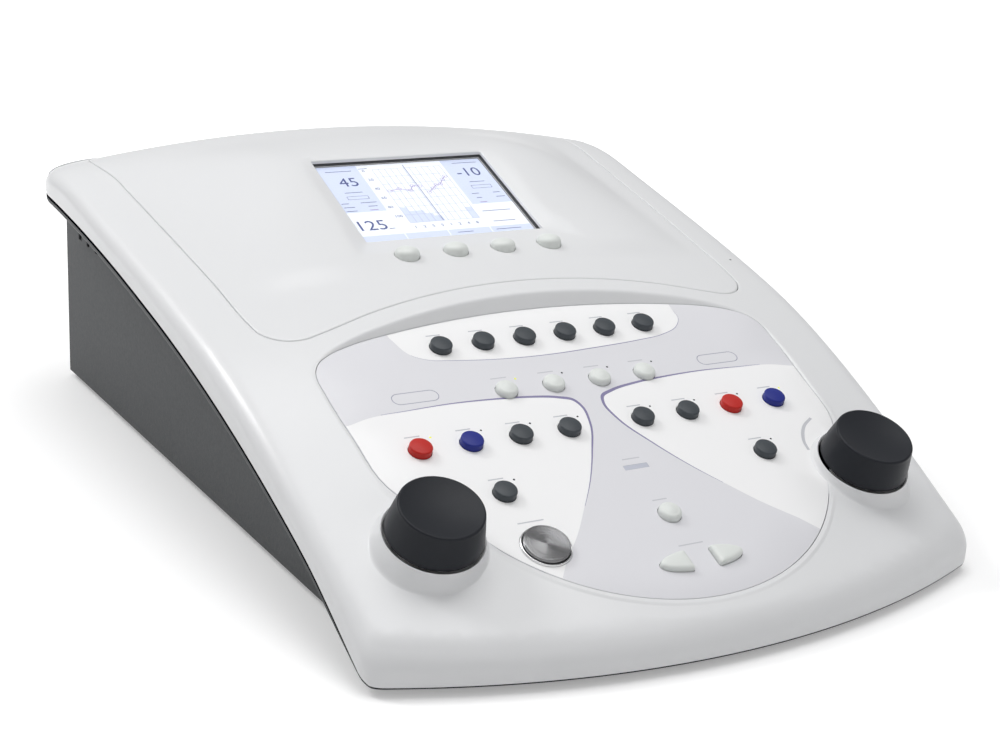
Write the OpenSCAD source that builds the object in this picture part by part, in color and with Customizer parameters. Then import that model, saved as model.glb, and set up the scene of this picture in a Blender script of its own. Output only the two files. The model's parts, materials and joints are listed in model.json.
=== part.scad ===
// Desktop two-channel audiometer.
// A crowned white cover sits on a dark base. It carries a flat keypad that leans
// to the front, two dials on raised collars, and a display in a raised hood.
// Millimetres. Origin: middle of the footprint, on the table. Front is -Y, up is +Z.

/* [Body] */
// Width over the cover at the back
body_w = 401; // [385:1:480]
// How much narrower the cover is at its front corners
body_taper = 42; // [20:1:44]
// Depth from the front lip to the back edge
body_d = 539; // [530:1:650]
// How far the middle of the front edge stands before its corners
front_bow = 38; // [20:1:50]
// How far the middle of the back edge stands behind its corners
rear_bow = 7; // [4:1:12]
// Corner radius of the cover in plan, at the front
front_corner_r = 14; // [10:1:24]
// Corner radius of the cover in plan, at the back
rear_corner_r = 60; // [40:1:70]
// Wall of the cover and of the hood
wall = 3; // [2.4:0.1:3.4]
// Wall of the base
base_wall = 3; // [2:0.1:4]

/* [Surface] */
// Height of the cover on its ridge behind the display, and at the back edge
ridge_h = 163.4; // [155:0.2:175]
rear_h = 147; // [140:1:155]
// Distance of the ridge point from the back edge
ridge_from_back = 110; // [90:1:130]
// Radius of the crown from side to side
crown_r = 1020; // [800:10:2000]
// Rise of the cover's surface over the keypad plane at the arch
arch_rise = 4.6; // [3:0.1:8]
// Slope of the surface at the front, the arch, the ridge point and the back
front_slope = 0.52; // [0.46:0.01:0.58]
arch_slope = 0.245; // [0.2:0.005:0.3]
ridge_slope = 0.195; // [0.15:0.005:0.25]
rear_slope = -0.6; // [-0.8:0.05:-0.3]
// Width of the rounded shoulder along the edge, and its drop at the front and at the back
shoulder_w = 16; // [12:1:20]
shoulder_drop = 10.5; // [6:0.5:12]
shoulder_rear_drop = 7.5; // [5:0.5:10]
// Height of the cover's lower edge at the front and at the back
rim_front_h = 10.5; // [9:0.5:14]
rim_rear_h = 129; // [120:1:135]
// Slope of the lower edge at its front and back ends
rim_front_slope = 0.54; // [0.5:0.01:0.7]
rim_rear_slope = 0; // [0:0.01:0.1]

/* [Keypad] */
// Lean of the keypad to the front, in degrees
pad_tilt = 22.6; // [20:0.1:25]
// Distance of the keypad's middle row from the front lip
pad_from_front = 179; // [176:1:182]
// Height of the keypad's middle row
pad_h = 95.3; // [94:0.1:97]
// Thickness of the keypad overlay
pad_t = 1.2; // [0.8:0.1:1.6]
// Radius of the keypad's round front edge
pad_front_r = 121; // [118:1:124]
// Radius of a round key
key_r = 6.1; // [5:0.1:6.6]
// Height of a round key over the keypad
key_h = 4.2; // [3:0.1:6]
// Travel of a key
key_travel = 1.5; // [0.8:0.1:1.6]
// Gap between a key and its hole
key_gap = 0.3; // [0.2:0.05:0.5]
// Pitch of the six keys of the top row
menu_pitch = 25.9; // [22:0.1:27]
// Pitch of the four pale keys and of the channel keys
key_pitch = 29; // [26:0.1:30]
// Radius of the steel interrupter key
interrupter_r = 12; // [10:0.1:13]
// Half length and half width of the split oval of the two frequency keys
oval_a = 24.5; // [20:0.5:26]
oval_b = 6.7; // [5:0.1:8]
// Half gap between the two frequency keys
oval_gap = 7.5; // [5:0.5:9]

/* [Dials] */
// Distance of each dial from the middle
dial_x = 130; // [128:0.5:132]
// Place of the dials along the keypad's slope
dial_v = -109.8; // [-112:0.1:-108]
// Radius of a dial at its foot and at its top
dial_foot_r = 24.4; // [22:0.1:25]
dial_top_r = 21.4; // [19:0.1:22]
// Height of a dial
dial_len = 18; // [14:0.5:22]
// Depth of the dish in a dial's top
dial_dish = 2.6; // [1:0.1:4]
// Radius of the dial shaft
shaft_r = 3; // [2.5:0.05:3.2]
// Running gap round the dial shaft
shaft_gap = 0.05; // [0.02:0.01:0.08]

/* [Display] */
// Lean of the display, in degrees
lcd_tilt = 20; // [18:0.5:22]
// Visible width and height of the display
lcd_w = 115.2; // [110:0.2:116]
lcd_h = 82; // [78:0.5:83]
// Distance from the keypad's middle row to the middle of the display
lcd_from_pad = 173.5; // [172:0.5:176]
// Height of the middle of the display
lcd_mid_h = 147.2; // [146:0.2:148]
// Depth of the display's face under its surround
lcd_sunk = 4.2; // [3.6:0.1:4.6]
// Height of the swelling round the top of the display
hump_h = 10.4; // [8:0.1:12]
// Radius of a soft key's dome in plan
soft_r = 7.2; // [6:0.1:7.6]
// Pitch of the four soft keys
soft_pitch = 31.4; // [30:0.1:33]

/* [Base] */
// Height of the rubber feet
foot_h = 5; // [4:0.5:7]
// Radius of the rubber feet
foot_r = 9; // [7:0.5:12]
// Gap between the cover and the flange of the base
seam = 1.2; // [0.8:0.1:2]
// How far the walls of the base stand in from the cover, at the front and at the back
front_inset = 20; // [18:0.5:24]
rear_inset = 23.5; // [20:0.5:28]
// Number of vent slots on each side
vents = 8; // [4:1:8]
// Pitch and width of the vent slots
vent_pitch = 15.3; // [12:0.1:18]
vent_w = 5.5; // [3:0.5:7]
// Number of jack sockets on the back
jacks = 6; // [2:1:6]
// Pitch of the jack sockets
jack_pitch = 24; // [20:1:26]
// Radius of the hole in a jack socket
jack_bore_r = 3.25; // [3.2:0.01:3.3]

/* [Hidden] */

$fn = 48;
tiny = 0.01;
front_y = -body_d / 2;
rear_y = body_d / 2;
pad_y = front_y + pad_from_front;
lcd_y = pad_y + lcd_from_pad;

// Colours
white = [0.88, 0.885, 0.89];
panel_grey = [0.86, 0.86, 0.88];
dark_grey = [0.34, 0.36, 0.37];
key_grey = [0.26, 0.29, 0.32];
pale = [0.88, 0.91, 0.90];
red = [0.78, 0.14, 0.11];
blue = [0.12, 0.18, 0.55];
dial_black = [0.17, 0.18, 0.20];
steel = [0.72, 0.72, 0.72];
board_green = [0.10, 0.38, 0.22];
black = [0.08, 0.08, 0.08];
amber = [0.90, 0.80, 0.35];

// ---- Curves ----

// Cubic between heights a and b with end rises ma and mb, t from 0 to 1
function hermite(t, a, b, ma, mb) =
    a * (1 - 3 * t * t + 2 * t * t * t) + b * (3 * t * t - 2 * t * t * t)
    + ma * t * (1 - t) * (1 - t) - mb * t * t * (1 - t);

// Height of the keypad plane at depth y
function pad_plane(y) = pad_h + tan(pad_tilt) * (y - pad_y);

// Where the spine of the cover leaves the front lip, passes the arch and ends
lip_y = front_y + 18;
arch_y = pad_y + 60;
ridge_y = rear_y - ridge_from_back;
lip_z = pad_plane(lip_y);
arch_z = pad_plane(arch_y) + arch_rise;

// Height of the cover along its middle line
function spine(y) =
    y < lip_y ? lip_z + front_slope * (y - lip_y)
    : y < arch_y ? hermite((y - lip_y) / (arch_y - lip_y), lip_z, arch_z,
        front_slope * (arch_y - lip_y), arch_slope * (arch_y - lip_y))
    : y < ridge_y ? hermite((y - arch_y) / (ridge_y - arch_y), arch_z, ridge_h,
        arch_slope * (ridge_y - arch_y), ridge_slope * (ridge_y - arch_y))
    : hermite(min((y - ridge_y) / ridge_from_back, 1), ridge_h, rear_h,
        ridge_slope * ridge_from_back, rear_slope * ridge_from_back);

// Drop of the rounded shoulder at depth y
function drop_at(y) = shoulder_drop + (shoulder_rear_drop - shoulder_drop) * (y - front_y) / body_d;

// Height of the crowned surface, without its rounded edge
function skin(x, y) = spine(y) - x * x / (2 * crown_r);

// Height of the cover's lower edge: level at the front, then a long curve
rim_start_y = front_y + front_bow + 2;
function rim(y) =
    y < rim_start_y ? rim_front_h
    : hermite((y - rim_start_y) / (rear_y - rim_start_y), rim_front_h, rim_rear_h,
        rim_front_slope * (rear_y - rim_start_y), rim_rear_slope * (rear_y - rim_start_y));

// ---- Plan outlines ----

function arc(c, r, a0, a1, n) =
    [for (i = [0:n]) let (a = a0 + (a1 - a0) * i / n) c + r * [cos(a), sin(a)]];

// Centre of a circle of radius r inside both a bow arc and a slanted side.
// The side is x = w0 + k * y. The bow has centre (0, cy) and radius big_r.
function corner_centre(w0, k, cy, big_r, r, end) =
    let (a = w0 - r * sqrt(1 + k * k), d = big_r - r, q = 1 + k * k, b = a * k - cy,
         y = (-b + end * sqrt(b * b - q * (a * a + cy * cy - d * d))) / q)
    [a + k * y, y];

// Closed outline, counter-clockwise from the middle of the front: bowed front and
// back, slanted sides, round corners. wf and wr are half widths at the ends.
function plan(wf, wr, y0, y1, bow0, bow1, r0, r1) =
    let (k = (wr - wf) / (y1 - y0), w0 = wf - k * y0,
         big0 = (wf * wf + bow0 * bow0) / (2 * bow0), c0 = y0 + big0,
         big1 = (wr * wr + bow1 * bow1) / (2 * bow1), c1 = y1 - big1,
         p0 = corner_centre(w0, k, c0, big0, r0, -1),
         p1 = corner_centre(w0, k, c1, big1, r1, 1),
         a0 = atan2(p0[1] - c0, p0[0]), a1 = atan2(p1[1] - c1, p1[0]), side = -atan(k),
         half = concat(
            arc([0, c0], big0, -90, a0, 9),
            arc(p0, r0, a0 + (side - a0) / 5, side, 4),
            [for (i = [1:9]) let (t = i / 10)
                (p0 + r0 * [cos(side), sin(side)]) * (1 - t) + (p1 + r1 * [cos(side), sin(side)]) * t],
            arc(p1, r1, side, side + (a1 - side) * 7 / 8, 7),
            arc([0, c1], big1, a1, 90, 6)))
    concat(half, [for (i = [len(half) - 2:-1:1]) [-half[i][0], half[i][1]]]);

// Outline of the cover, drawn in by d
function cover_plan(d) = plan(body_w / 2 - body_taper / 2 - d, body_w / 2 + 0.5 - d,
    front_y + d, rear_y - d, front_bow, rear_bow,
    max(front_corner_r - d, 2), max(rear_corner_r - d, 2));

// Outline of the walls of the base, drawn in by d
base_bow = 3;
base_rear_y = rear_y - 16;
function base_plan(d) = plan(body_w / 2 - body_taper / 2 - front_inset - d, body_w / 2 - rear_inset - d,
    front_y + 22 + d, base_rear_y - d, front_bow, base_bow, max(7 - d, 2), max(6 - d, 2));

// Outline of the keypad, grown by g, in the keypad's own plane
pad_top_v = 46.6;
pad_arch_r = 480;
pad_front_c = [0, -54];
function grow(p, g) =
    [for (i = [0:len(p) - 1]) let (
        a = p[(i + len(p) - 1) % len(p)], b = p[i], c = p[(i + 1) % len(p)],
        u = (b - a) / norm(b - a), v = (c - b) / norm(c - b),
        m = [u[1] + v[1], -u[0] - v[0]])
        b + g * m * 2 / (m * m)];
function pad_outline(g) =
    let (half = concat(
            arc(pad_front_c, pad_front_r, -90, -30, 9),
            [[123, -94], [136.5, -72], [140, -36], [141.6, 0]],
            arc([121.6, 8], 20, 10, 62, 4),
            [for (x = [110, 88, 66, 44, 22, 0]) [x, pad_top_v - x * x / (2 * pad_arch_r)]]))
    grow(concat(half, [for (i = [len(half) - 2:-1:1]) [-half[i][0], half[i][1]]]), g);

// Outline of the hood in plan: concave front edge, round lobes, sides that follow the cover
hood_side_in = 44;
hood_front_y = pad_y + 61;
hood_front_r = 420;
hood_back_r = 44;
function hood_side(y) = body_w / 2 - hood_side_in + (y - hood_front_y) * 0.054;
function hood_plan(g) =
    let (rr = 22, lobe_y = hood_front_y + 2, lobe_x = hood_side(lobe_y) - rr, end_y = rear_y - 60,
         half = concat(
            [for (x = [0, 30, 60, 90]) [x, hood_front_y - x * x / (2 * hood_front_r)]],
            arc([lobe_x, lobe_y], rr, -108, 0, 6),
            [for (i = [1:4]) let (y = lobe_y + (end_y - lobe_y) * i / 5) [hood_side(y), y]],
            arc([hood_side(end_y) - hood_back_r, end_y], hood_back_r, 0, 84, 6),
            [for (x = [77, 37, 0]) [x, rear_y - 13.4 - x * x / 5000]]))
    grow(concat(half, [for (i = [len(half) - 2:-1:1]) [-half[i][0], half[i][1]]]), g);

// ---- Lofts ----

// Solid through rings of equal length, lowest first, closed by a fan at each end
module ring_loft(rings, low, high) {
    n = len(rings[0]);
    m = len(rings);
    polyhedron(
        concat([for (r = rings) each r], [low, high]),
        concat(
            [for (k = [0:m - 2]) for (i = [0:n - 1]) let (j = (i + 1) % n)
                each [[k * n + i, (k + 1) * n + i, (k + 1) * n + j], [k * n + i, (k + 1) * n + j, k * n + j]]],
            [for (i = [0:n - 1]) [m * n, i, (i + 1) % n]],
            [for (i = [0:n - 1]) [m * n + 1, (m - 1) * n + (i + 1) % n, (m - 1) * n + i]]));
}

// Everything under the cover's surface, drawn in by d on all sides
module under_skin(d, steps, rings) {
    edge = cover_plan(d);
    last = cover_plan(d + shoulder_w);
    mid = [0, (front_y + rear_y) / 2];
    ring_loft(
        concat(
            [[for (p = edge) [p[0], p[1], -20]]],
            [for (i = [0:steps]) let (a = 90 * i / steps, q = cover_plan(d + shoulder_w * (1 - cos(a))))
                [for (p = q) [p[0], p[1], skin(p[0], p[1]) - drop_at(p[1]) * (1 - sin(a)) - d]]],
            [for (i = [1:rings]) let (s = 1 - i / (rings + 0.5))
                [for (p = last) let (q = mid + (p - mid) * s) [q[0], q[1], skin(q[0], q[1]) - d]]]),
        [mid[0], mid[1], -20], [mid[0], mid[1], skin(0, mid[1]) - d]);
}

// Slab between two heights under the cover's lower edge, across the whole width
module rim_band(low, high, n = 26) {
    ys = [for (i = [0:n]) rim_start_y + (rear_y + 20 - rim_start_y) * i / n];
    rotate([90, 0, 90]) linear_extrude(body_w + 40, center = true) polygon(concat(
        [[front_y - 20, rim_front_h + low]], [for (y = ys) [y, rim(y) + low]],
        [for (i = [n:-1:0]) [ys[i], rim(ys[i]) + high]], [[front_y - 20, rim_front_h + high]]));
}

module below_rim(high, n = 26) {
    ys = [for (i = [0:n]) rim_start_y + (rear_y + 20 - rim_start_y) * i / n];
    rotate([90, 0, 90]) linear_extrude(body_w + 40, center = true) polygon(concat(
        [[rear_y + 20, -30], [front_y - 20, -30], [front_y - 20, rim_front_h + high]],
        [for (y = ys) [y, rim(y) + high]]));
}

// ---- Frames ----

// Keypad frame: x across, y up the slope, z out of the keypad
module on_pad(p = [0, 0, 0]) {
    translate([0, pad_y, pad_h]) rotate([pad_tilt, 0, 0]) translate(p) children();
}

// Display frame, with its origin on the middle of the visible picture
module on_lcd(p = [0, 0, 0]) {
    translate([0, lcd_y, lcd_mid_h]) rotate([lcd_tilt, 0, 0]) translate(p) children();
}

module both_sides() {
    children();
    mirror([1, 0, 0]) children();
}

// ---- Places on the keypad ----

menu_v = 23.1;
mode_v = -16.2;
channel_v = -50.6;
lower_v = -87.8;
menu_spots = [for (i = [0:5]) [(i - 2.5) * menu_pitch, menu_v]];
mode_spots = [for (i = [0:3]) [(i - 1.5) * key_pitch, mode_v]];
channel_x = 22.9;
right_spots = concat([for (i = [0:3]) [channel_x + i * key_pitch, channel_v]], [[79.9, lower_v]]);
left_spots = [for (p = right_spots) [-p[0], p[1]]];
store_spot = [0, -119];
interrupter_spot = [-75.6, -125.8];
oval_v = -151.3;
round_spots = concat(menu_spots, mode_spots, left_spots, right_spots, [store_spot]);
light_offset = [9.5, 8.3];
light_spots = [for (p = concat(mode_spots, left_spots, right_spots)) p + light_offset];
response_spot = [0, -83.8];
response_size = [14.6, 3.2];
board_posts = [[98, 6], [-98, 6], [45, -80], [-45, -80], [52, -140], [-52, -140]];

// Depths under the keypad's face
floor_t = 3;
floor_low = -pad_t - floor_t;
board_top = -12.4;
board_t = 1.6;
flange_t = 1.2;
stem_low = floor_low - 0.3 - flange_t - 1.2;
plunger_top = stem_low - key_travel - 0.3;
light_r = 0.95;

function oval(a, b, x0, n) =
    let (t0 = acos(x0 / a)) [for (i = [0:n]) let (t = -t0 + 2 * t0 * i / n) [a * cos(t), b * sin(t)]];
function frequency_outline(g) = grow(oval(oval_a, oval_b, oval_gap, 14), g);

// ---- Cover ----

// Raised collar under a dial
module collar() {
    translate([0, 0, -10]) cylinder(h = 13.8, r1 = dial_foot_r + 7.1, r2 = dial_foot_r + 1.2);
}

// Pocket for the keypad: the overlay's own recess, then walls that lean out
module pad_pocket() {
    low = [for (p = pad_outline(key_gap)) [p[0], p[1], -pad_t]];
    mid = [for (p = pad_outline(key_gap)) [p[0], p[1], 0]];
    high = [for (p = pad_outline(16)) [p[0], p[1], 13]];
    ring_loft([low, mid, high], [0, -50, -pad_t], [0, -50, 13]);
}

// Solid left round the pocket, so that its walls stay as thick as the cover
module pad_tub() {
    low = [for (p = pad_outline(4)) [p[0], p[1], floor_low]];
    mid = [for (p = pad_outline(4.5)) [p[0], p[1], 0]];
    high = [for (p = pad_outline(25)) [p[0], p[1], 17]];
    ring_loft([low, mid, high], [0, -50, floor_low], [0, -50, 17]);
}

// Holes for keys, lights and the response window
module pad_holes(low, high) {
    h = high - low;
    for (p = round_spots) translate([p[0], p[1], low]) cylinder(h = h, r = key_r + key_gap);
    for (p = light_spots) translate([p[0], p[1], low]) cylinder(h = h, r = light_r + 0.1);
    translate([interrupter_spot[0], interrupter_spot[1], low]) cylinder(h = h, r = interrupter_r + key_gap);
    both_sides() translate([0, oval_v, low]) linear_extrude(h) polygon(frequency_outline(key_gap));
    translate([-response_size[0] / 2 - 0.1, response_spot[1] - response_size[1] / 2 - 0.1, low])
        cube([response_size[0] + 0.2, response_size[1] + 0.2, h]);
}

// Three pairs of posts hold the cover to the base. x, y, height of the joint
posts = [[147, pad_y - 30, 36], [154, pad_y + 130, 60], [164.5, pad_y + 300, 70]];
post_r = 4.5;
post_wall = 6;
screw_r = 1.5;
screw_grip = 9;

module top_cover() color(white) {
    difference() {
        union() {
            difference() {
                under_skin(0, 6, 7);
                difference() {
                    under_skin(wall, 3, 6);
                    on_pad() pad_tub();
                }
                on_pad() pad_pocket();
                translate([0, 0, 20]) linear_extrude(200) polygon(hood_plan(0.3));
            }
            both_sides() on_pad([dial_x, dial_v, 0]) collar();
            both_sides() for (p = posts) translate([p[0], p[1], p[2] + 0.3])
                cylinder(h = skin(p[0], p[1]) - 4.2 - p[2], r = post_r);
            on_pad() for (p = board_posts) translate([p[0], p[1], board_top])
                cylinder(h = floor_low - board_top + 0.5, r = 3);
            hood_ledge();
        }
        below_rim(0);
        on_pad() pad_holes(-8, 2);
        both_sides() on_pad([dial_x, dial_v, 0]) {
            translate([0, 0, -30]) cylinder(h = 30.8, r = dial_foot_r - 1);
            translate([0, 0, -10]) cylinder(h = 20, r = bush_r + 0.4);
        }
        both_sides() for (p = posts) translate([p[0], p[1], p[2] - 1])
            cylinder(h = screw_grip + 3, r = screw_r + 0.05);
        on_pad() for (p = board_posts) translate([p[0], p[1], board_top - 1])
            cylinder(h = 7, r = screw_r + 0.05);
    }
}

// Fall of the cover's surface where it rounds over at the back
function back_drop(x, y) =
    let (edge = min(max(shoulder_w - (rear_y - rear_bow * pow(x / body_w * 2, 2) - y), 0) / shoulder_w, 1))
    drop_at(y) * (1 - sqrt(1 - edge * edge));

// Ledge under the edge of the opening, for the hood to rest on
module hood_ledge() {
    loops = [for (q = [[5, 2.4], [1.2, 2.4], [1, wall + 0.55], [-6, wall + 0.55], [-6, wall + 2.5], [5, wall + 2.5]])
        [for (p = hood_plan(q[0])) [p[0], p[1], skin(p[0], p[1]) - back_drop(p[0], p[1]) - q[1]]]];
    n = len(loops[0]);
    m = len(loops);
    polyhedron([for (l = loops) each l],
        [for (k = [0:m - 1]) for (i = [0:n - 1]) let (a = k * n, b = (k + 1) % m * n, j = (i + 1) % n)
            each [[a + i, b + i, b + j], [a + i, b + j, a + j]]]);
}

// ---- Hood ----

function smooth(t) = let (c = min(max(t, 0), 1)) c * c * (3 - 2 * c);
// Swelling round the display, flat across it. It ends in a soft crease on each side.
hump_half_w = 72;
hump_side_w = 74;
function hump_across(x) = let (u = min(max((abs(x) - hump_half_w) / hump_side_w, 0), 1))
    0.6 * (1 - u * u) + 0.4 * (1 - smooth(u));
function hump_along(y) = smooth((y - lcd_y + 48) / 88) * (1 - smooth((y - lcd_y - 40) / 76));
// The crown is taken out across the display and the soft keys
function flat_along(y) = smooth((y - lcd_y + 93) / 22) * (1 - smooth((y - lcd_y - 40) / 76));
function hump(x, y) =
    (hump_h * hump_along(y) + x * x / (2 * crown_r) * flat_along(y)) * hump_across(x);
function hood_top(x, y) = skin(x, y) + hump(x, y) - back_drop(x, y);

// Block under the hood's surface, lowered by d
module under_hood(d, nx, ny) {
    w = body_w / 2 - 8 - d;
    y0 = hood_front_y - 30;
    y1 = rear_y - 4;
    xs = [for (i = [0:nx]) -w + 2 * w * i / nx];
    ys = concat([for (j = [0:ny - 13]) y0 + (ridge_y - y0) * j / (ny - 13)],
        [for (a = [95, 80, 66, 54, 43, 34, 27, 21, 17, 13, 9.5, 6.5, 4]) rear_y - a]);
    top = [for (y = ys) for (x = xs) [x, y, hood_top(x, y) - d]];
    low = [for (y = ys) for (x = xs) if (x == xs[0] || x == xs[nx] || y == y0 || y == ys[ny]) [x, y, 60]];
    edge_loop = concat([for (i = [0:nx]) i], [for (j = [1:ny]) j * (nx + 1) + nx],
        [for (i = [nx - 1:-1:0]) ny * (nx + 1) + i], [for (j = [ny - 1:-1:1]) j * (nx + 1)]);
    n = len(edge_loop);
    base = [for (k = edge_loop) [top[k][0], top[k][1], 60]];
    polyhedron(concat(top, base, [[0, (y0 + y1) / 2, 60]]), concat(
        [for (j = [0:ny - 1]) for (i = [0:nx - 1]) let (a = j * (nx + 1) + i, b = a + 1, c = a + nx + 1, e = c + 1)
            each [[a, c, e], [a, e, b]]],
        [for (k = [0:n - 1]) let (q = (k + 1) % n)
            each [[edge_loop[k], edge_loop[q], len(top) + k], [edge_loop[q], len(top) + q, len(top) + k]]],
        [for (k = [0:n - 1]) [len(top) + n, len(top) + k, len(top) + (k + 1) % n]]));
}

// Recess of the display and of the soft keys, grown by g all round and lowered by g
recess_foot = lcd_h / 2 + 6.4;
recess_head = lcd_h / 2 + 2.4;
bevel_out = 60;
bevel_up = 21;
module lcd_recess(g) hull() for (s = [-1, 1]) {
    side = 0.17 * g;
    on_lcd() {
        translate([s * (lcd_w / 2 + 1.7 + side), -recess_foot, lcd_sunk - g]) cube(tiny, center = true);
        translate([s * (lcd_w / 2 + 3.6 + side), recess_head + g, lcd_sunk - g]) cube(tiny, center = true);
        translate([s * (lcd_w / 2 + 1.7 + side + bevel_out), -recess_foot, lcd_sunk - g + bevel_up])
            cube(tiny, center = true);
        translate([s * (lcd_w / 2 + 3.6 + side + bevel_out), recess_head + 6 + g, lcd_sunk - g + bevel_up])
            cube(tiny, center = true);
    }
    translate([s * (lcd_w / 2 + 20 + side), soft_y - 18 - g, sill_z - g]) cube(tiny, center = true);
    translate([s * (lcd_w / 2 + 20 + side + bevel_out), soft_y - 18 - g, sill_z - g + bevel_up])
        cube(tiny, center = true);
}
// Level sill before the display, where the soft keys stand
sill_y = lcd_y - cos(lcd_tilt) * recess_foot - sin(lcd_tilt) * lcd_sunk;
sill_z = lcd_mid_h - sin(lcd_tilt) * recess_foot + cos(lcd_tilt) * lcd_sunk;
soft_y = pad_y + 100;
soft_spots = [for (i = [0:3]) [(i - 1.5) * soft_pitch, soft_y]];
soft_travel = 1.2;
soft_skin = 2.2;
soft_board_z = sill_z - 13;

module display_hood() color(white) difference() {
    union() {
        difference() {
            intersection() {
                under_hood(0, 28, 29);
                translate([0, 0, 20]) linear_extrude(200) polygon(hood_plan(0));
            }
            difference() {
                under_hood(wall, 16, 22);
                lcd_recess(wall - 0.8);
            }
            lcd_recess(0);
        }
        on_lcd() for (s = [-1, 1]) {
            translate([s * ear_x, ear_low_v, 0]) cylinder(h = 3.8, r = 2.5);
            translate([s * ear_x, ear_high_v, 0]) cylinder(h = 4, r = 2.5);
        }
        for (s = [-1, 1]) translate([s * 66, soft_y, soft_board_z + board_t])
            cylinder(h = -4 - soft_board_z - board_t + sill_z, r = 3);
    }
    on_lcd([-lcd_w / 2 - 1.4, -recess_foot + 0.8, -20]) cube([lcd_w + 2.8, recess_foot + recess_head - 1.6, 60]);
    on_lcd([-62.3, -49, -6]) cube([124.6, 92.7, 8.1]);
    for (p = soft_spots) translate([p[0], p[1], sill_z - 20]) {
        cylinder(h = 40, r = soft_r + key_gap);
        cylinder(h = 20 - soft_skin, r = soft_r + 1.9);
    }
    for (s = [-1, 1]) translate([s * 66, soft_y, soft_board_z]) cylinder(h = 7, r = screw_r + 0.05);
}

// ---- Display ----

frame_w = 126;
frame_h = 92;
frame_t = 9;
ear_x = 66;
ear_low_v = -38;
ear_high_v = 30;
glass_w = 120;
glass_h = 88;

module lcd_window() color([0.85, 0.9, 0.95, 0.4])
    on_lcd([-62, -48, 0.8]) cube([124, 91.4, 1]);

module lcd_screen() color([0.72, 0.80, 0.95])
    on_lcd([-glass_w / 2, -glass_h / 2, -1]) cube([glass_w, glass_h, 1]);

// Metal frame round the glass, with an ear at each boss of the hood
module lcd_frame() color(steel) on_lcd() difference() {
    union() {
        translate([-frame_w / 2, -frame_h / 2 - 2.5, -frame_t]) cube([frame_w, frame_h + 0.5, frame_t]);
        for (v = [ear_low_v, ear_high_v]) translate([-ear_x - 3, v - 3, -2]) cube([2 * ear_x + 6, 6, 2]);
    }
    translate([-glass_w / 2 - 0.2, -glass_h / 2 - 0.2, -1.1]) cube([glass_w + 0.4, glass_h + 0.4, 4]);
}

// ---- Keypad ----

module keypad_overlay() color(panel_grey) on_pad() difference() {
    translate([0, 0, -pad_t]) linear_extrude(pad_t) polygon(pad_outline(0));
    pad_holes(-pad_t - 1, 1);
    translate([interrupter_spot[0], interrupter_spot[1], -3]) cylinder(h = 5, r = interrupter_r + 1.45);
    both_sides() translate([dial_x, dial_v, -3]) cylinder(h = 6, r = dial_foot_r + 3.4);
}

module keypad_board() color(board_green) on_pad() difference() {
    translate([0, 0, board_top - board_t]) linear_extrude(board_t) union() {
        polygon(pad_outline(-9));
        translate([-dial_x - 14, dial_v - 12]) square([2 * dial_x + 28, 24]);
    }
    for (p = board_posts) translate([p[0], p[1], board_top - 3]) cylinder(h = 5, r = screw_r + 0.2);
}

// Turned key: round top edge, domed face, retaining flange and stem.
// Heights run from the keypad's face; the axis is the key's own.
module turned_key(r, h, dome, low_stem, floor_z) {
    edge = 0.9;
    rotate_extrude() polygon(concat(
        [[0, low_stem], [2, low_stem], [2, floor_z - 0.3 - flange_t], [r + 1.4, floor_z - 0.3 - flange_t],
         [r + 1.4, floor_z - 0.3], [r, floor_z - 0.3], [r, h - edge - dome]],
        [for (a = [15:15:75]) [r - edge + edge * cos(a), h - dome - edge + edge * sin(a)]],
        [for (i = [0:4]) let (t = 1 - i / 5) [(r - edge) * t, h - dome * t * t]],
        [[0, h]]));
}

module round_key(p, c) color(c) on_pad([p[0], p[1], 0])
    turned_key(key_r, key_h, 0.8, stem_low, floor_low);

module interrupter_key() color(steel) on_pad([interrupter_spot[0], interrupter_spot[1], 0])
    turned_key(interrupter_r, 4, -0.5, stem_low, floor_low);

module interrupter_ring() color(steel) on_pad([interrupter_spot[0], interrupter_spot[1], -pad_t])
    difference() {
        cylinder(h = pad_t + 0.9, r = interrupter_r + 1.35);
        translate([0, 0, -1]) cylinder(h = 5, r = interrupter_r + key_gap);
    }

// One half of the split oval: s is -1 for the left key, 1 for the right key
module frequency_key(s) color(pale) on_pad([0, oval_v, 0]) mirror([s < 0 ? 1 : 0, 0, 0]) {
    low = floor_low - 0.3;
    translate([0, 0, low]) linear_extrude(2.4 - low) polygon(frequency_outline(0));
    translate([0, 0, 2.3]) linear_extrude(0.8) polygon(frequency_outline(-0.7));
    translate([0, 0, low - flange_t]) linear_extrude(flange_t + 0.2) polygon(frequency_outline(1.1));
    translate([oval_gap + 6, 0, stem_low]) cylinder(h = 3, r = 2);
}

module response_window() color([0.72, 0.76, 0.86]) on_pad()
    translate([-response_size[0] / 2, response_spot[1] - response_size[1] / 2, floor_low])
        cube([response_size[0], response_size[1], -floor_low]);

module key_lights() color(amber) on_pad() for (p = light_spots)
    translate([p[0], p[1], board_top]) cylinder(h = -board_top + 0.15, r = light_r);

// Push switch on a board: square body with a round plunger
module push_switch(top) {
    translate([-3, -3, board_top]) cube([6, 6, top - 0.5 - board_top]);
    translate([0, 0, board_top]) cylinder(h = top - board_top, r = 1.7);
}

module key_switches() color(black) {
    on_pad() for (p = concat(round_spots, [interrupter_spot, [oval_gap + 6, oval_v], [-oval_gap - 6, oval_v]]))
        translate([p[0], p[1], 0]) push_switch(plunger_top);
    for (p = soft_spots) translate([p[0], p[1], soft_board_z + board_t - board_top])
        push_switch(board_top + soft_stem_low - soft_travel - 0.3 + 13 - board_t);
}

// ---- Dials ----

bush_r = 3.5;
dial_low = 4.4;
shaft_top = dial_low + 12;
encoder_low = board_top;
encoder_top = floor_low - 1.6;

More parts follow.
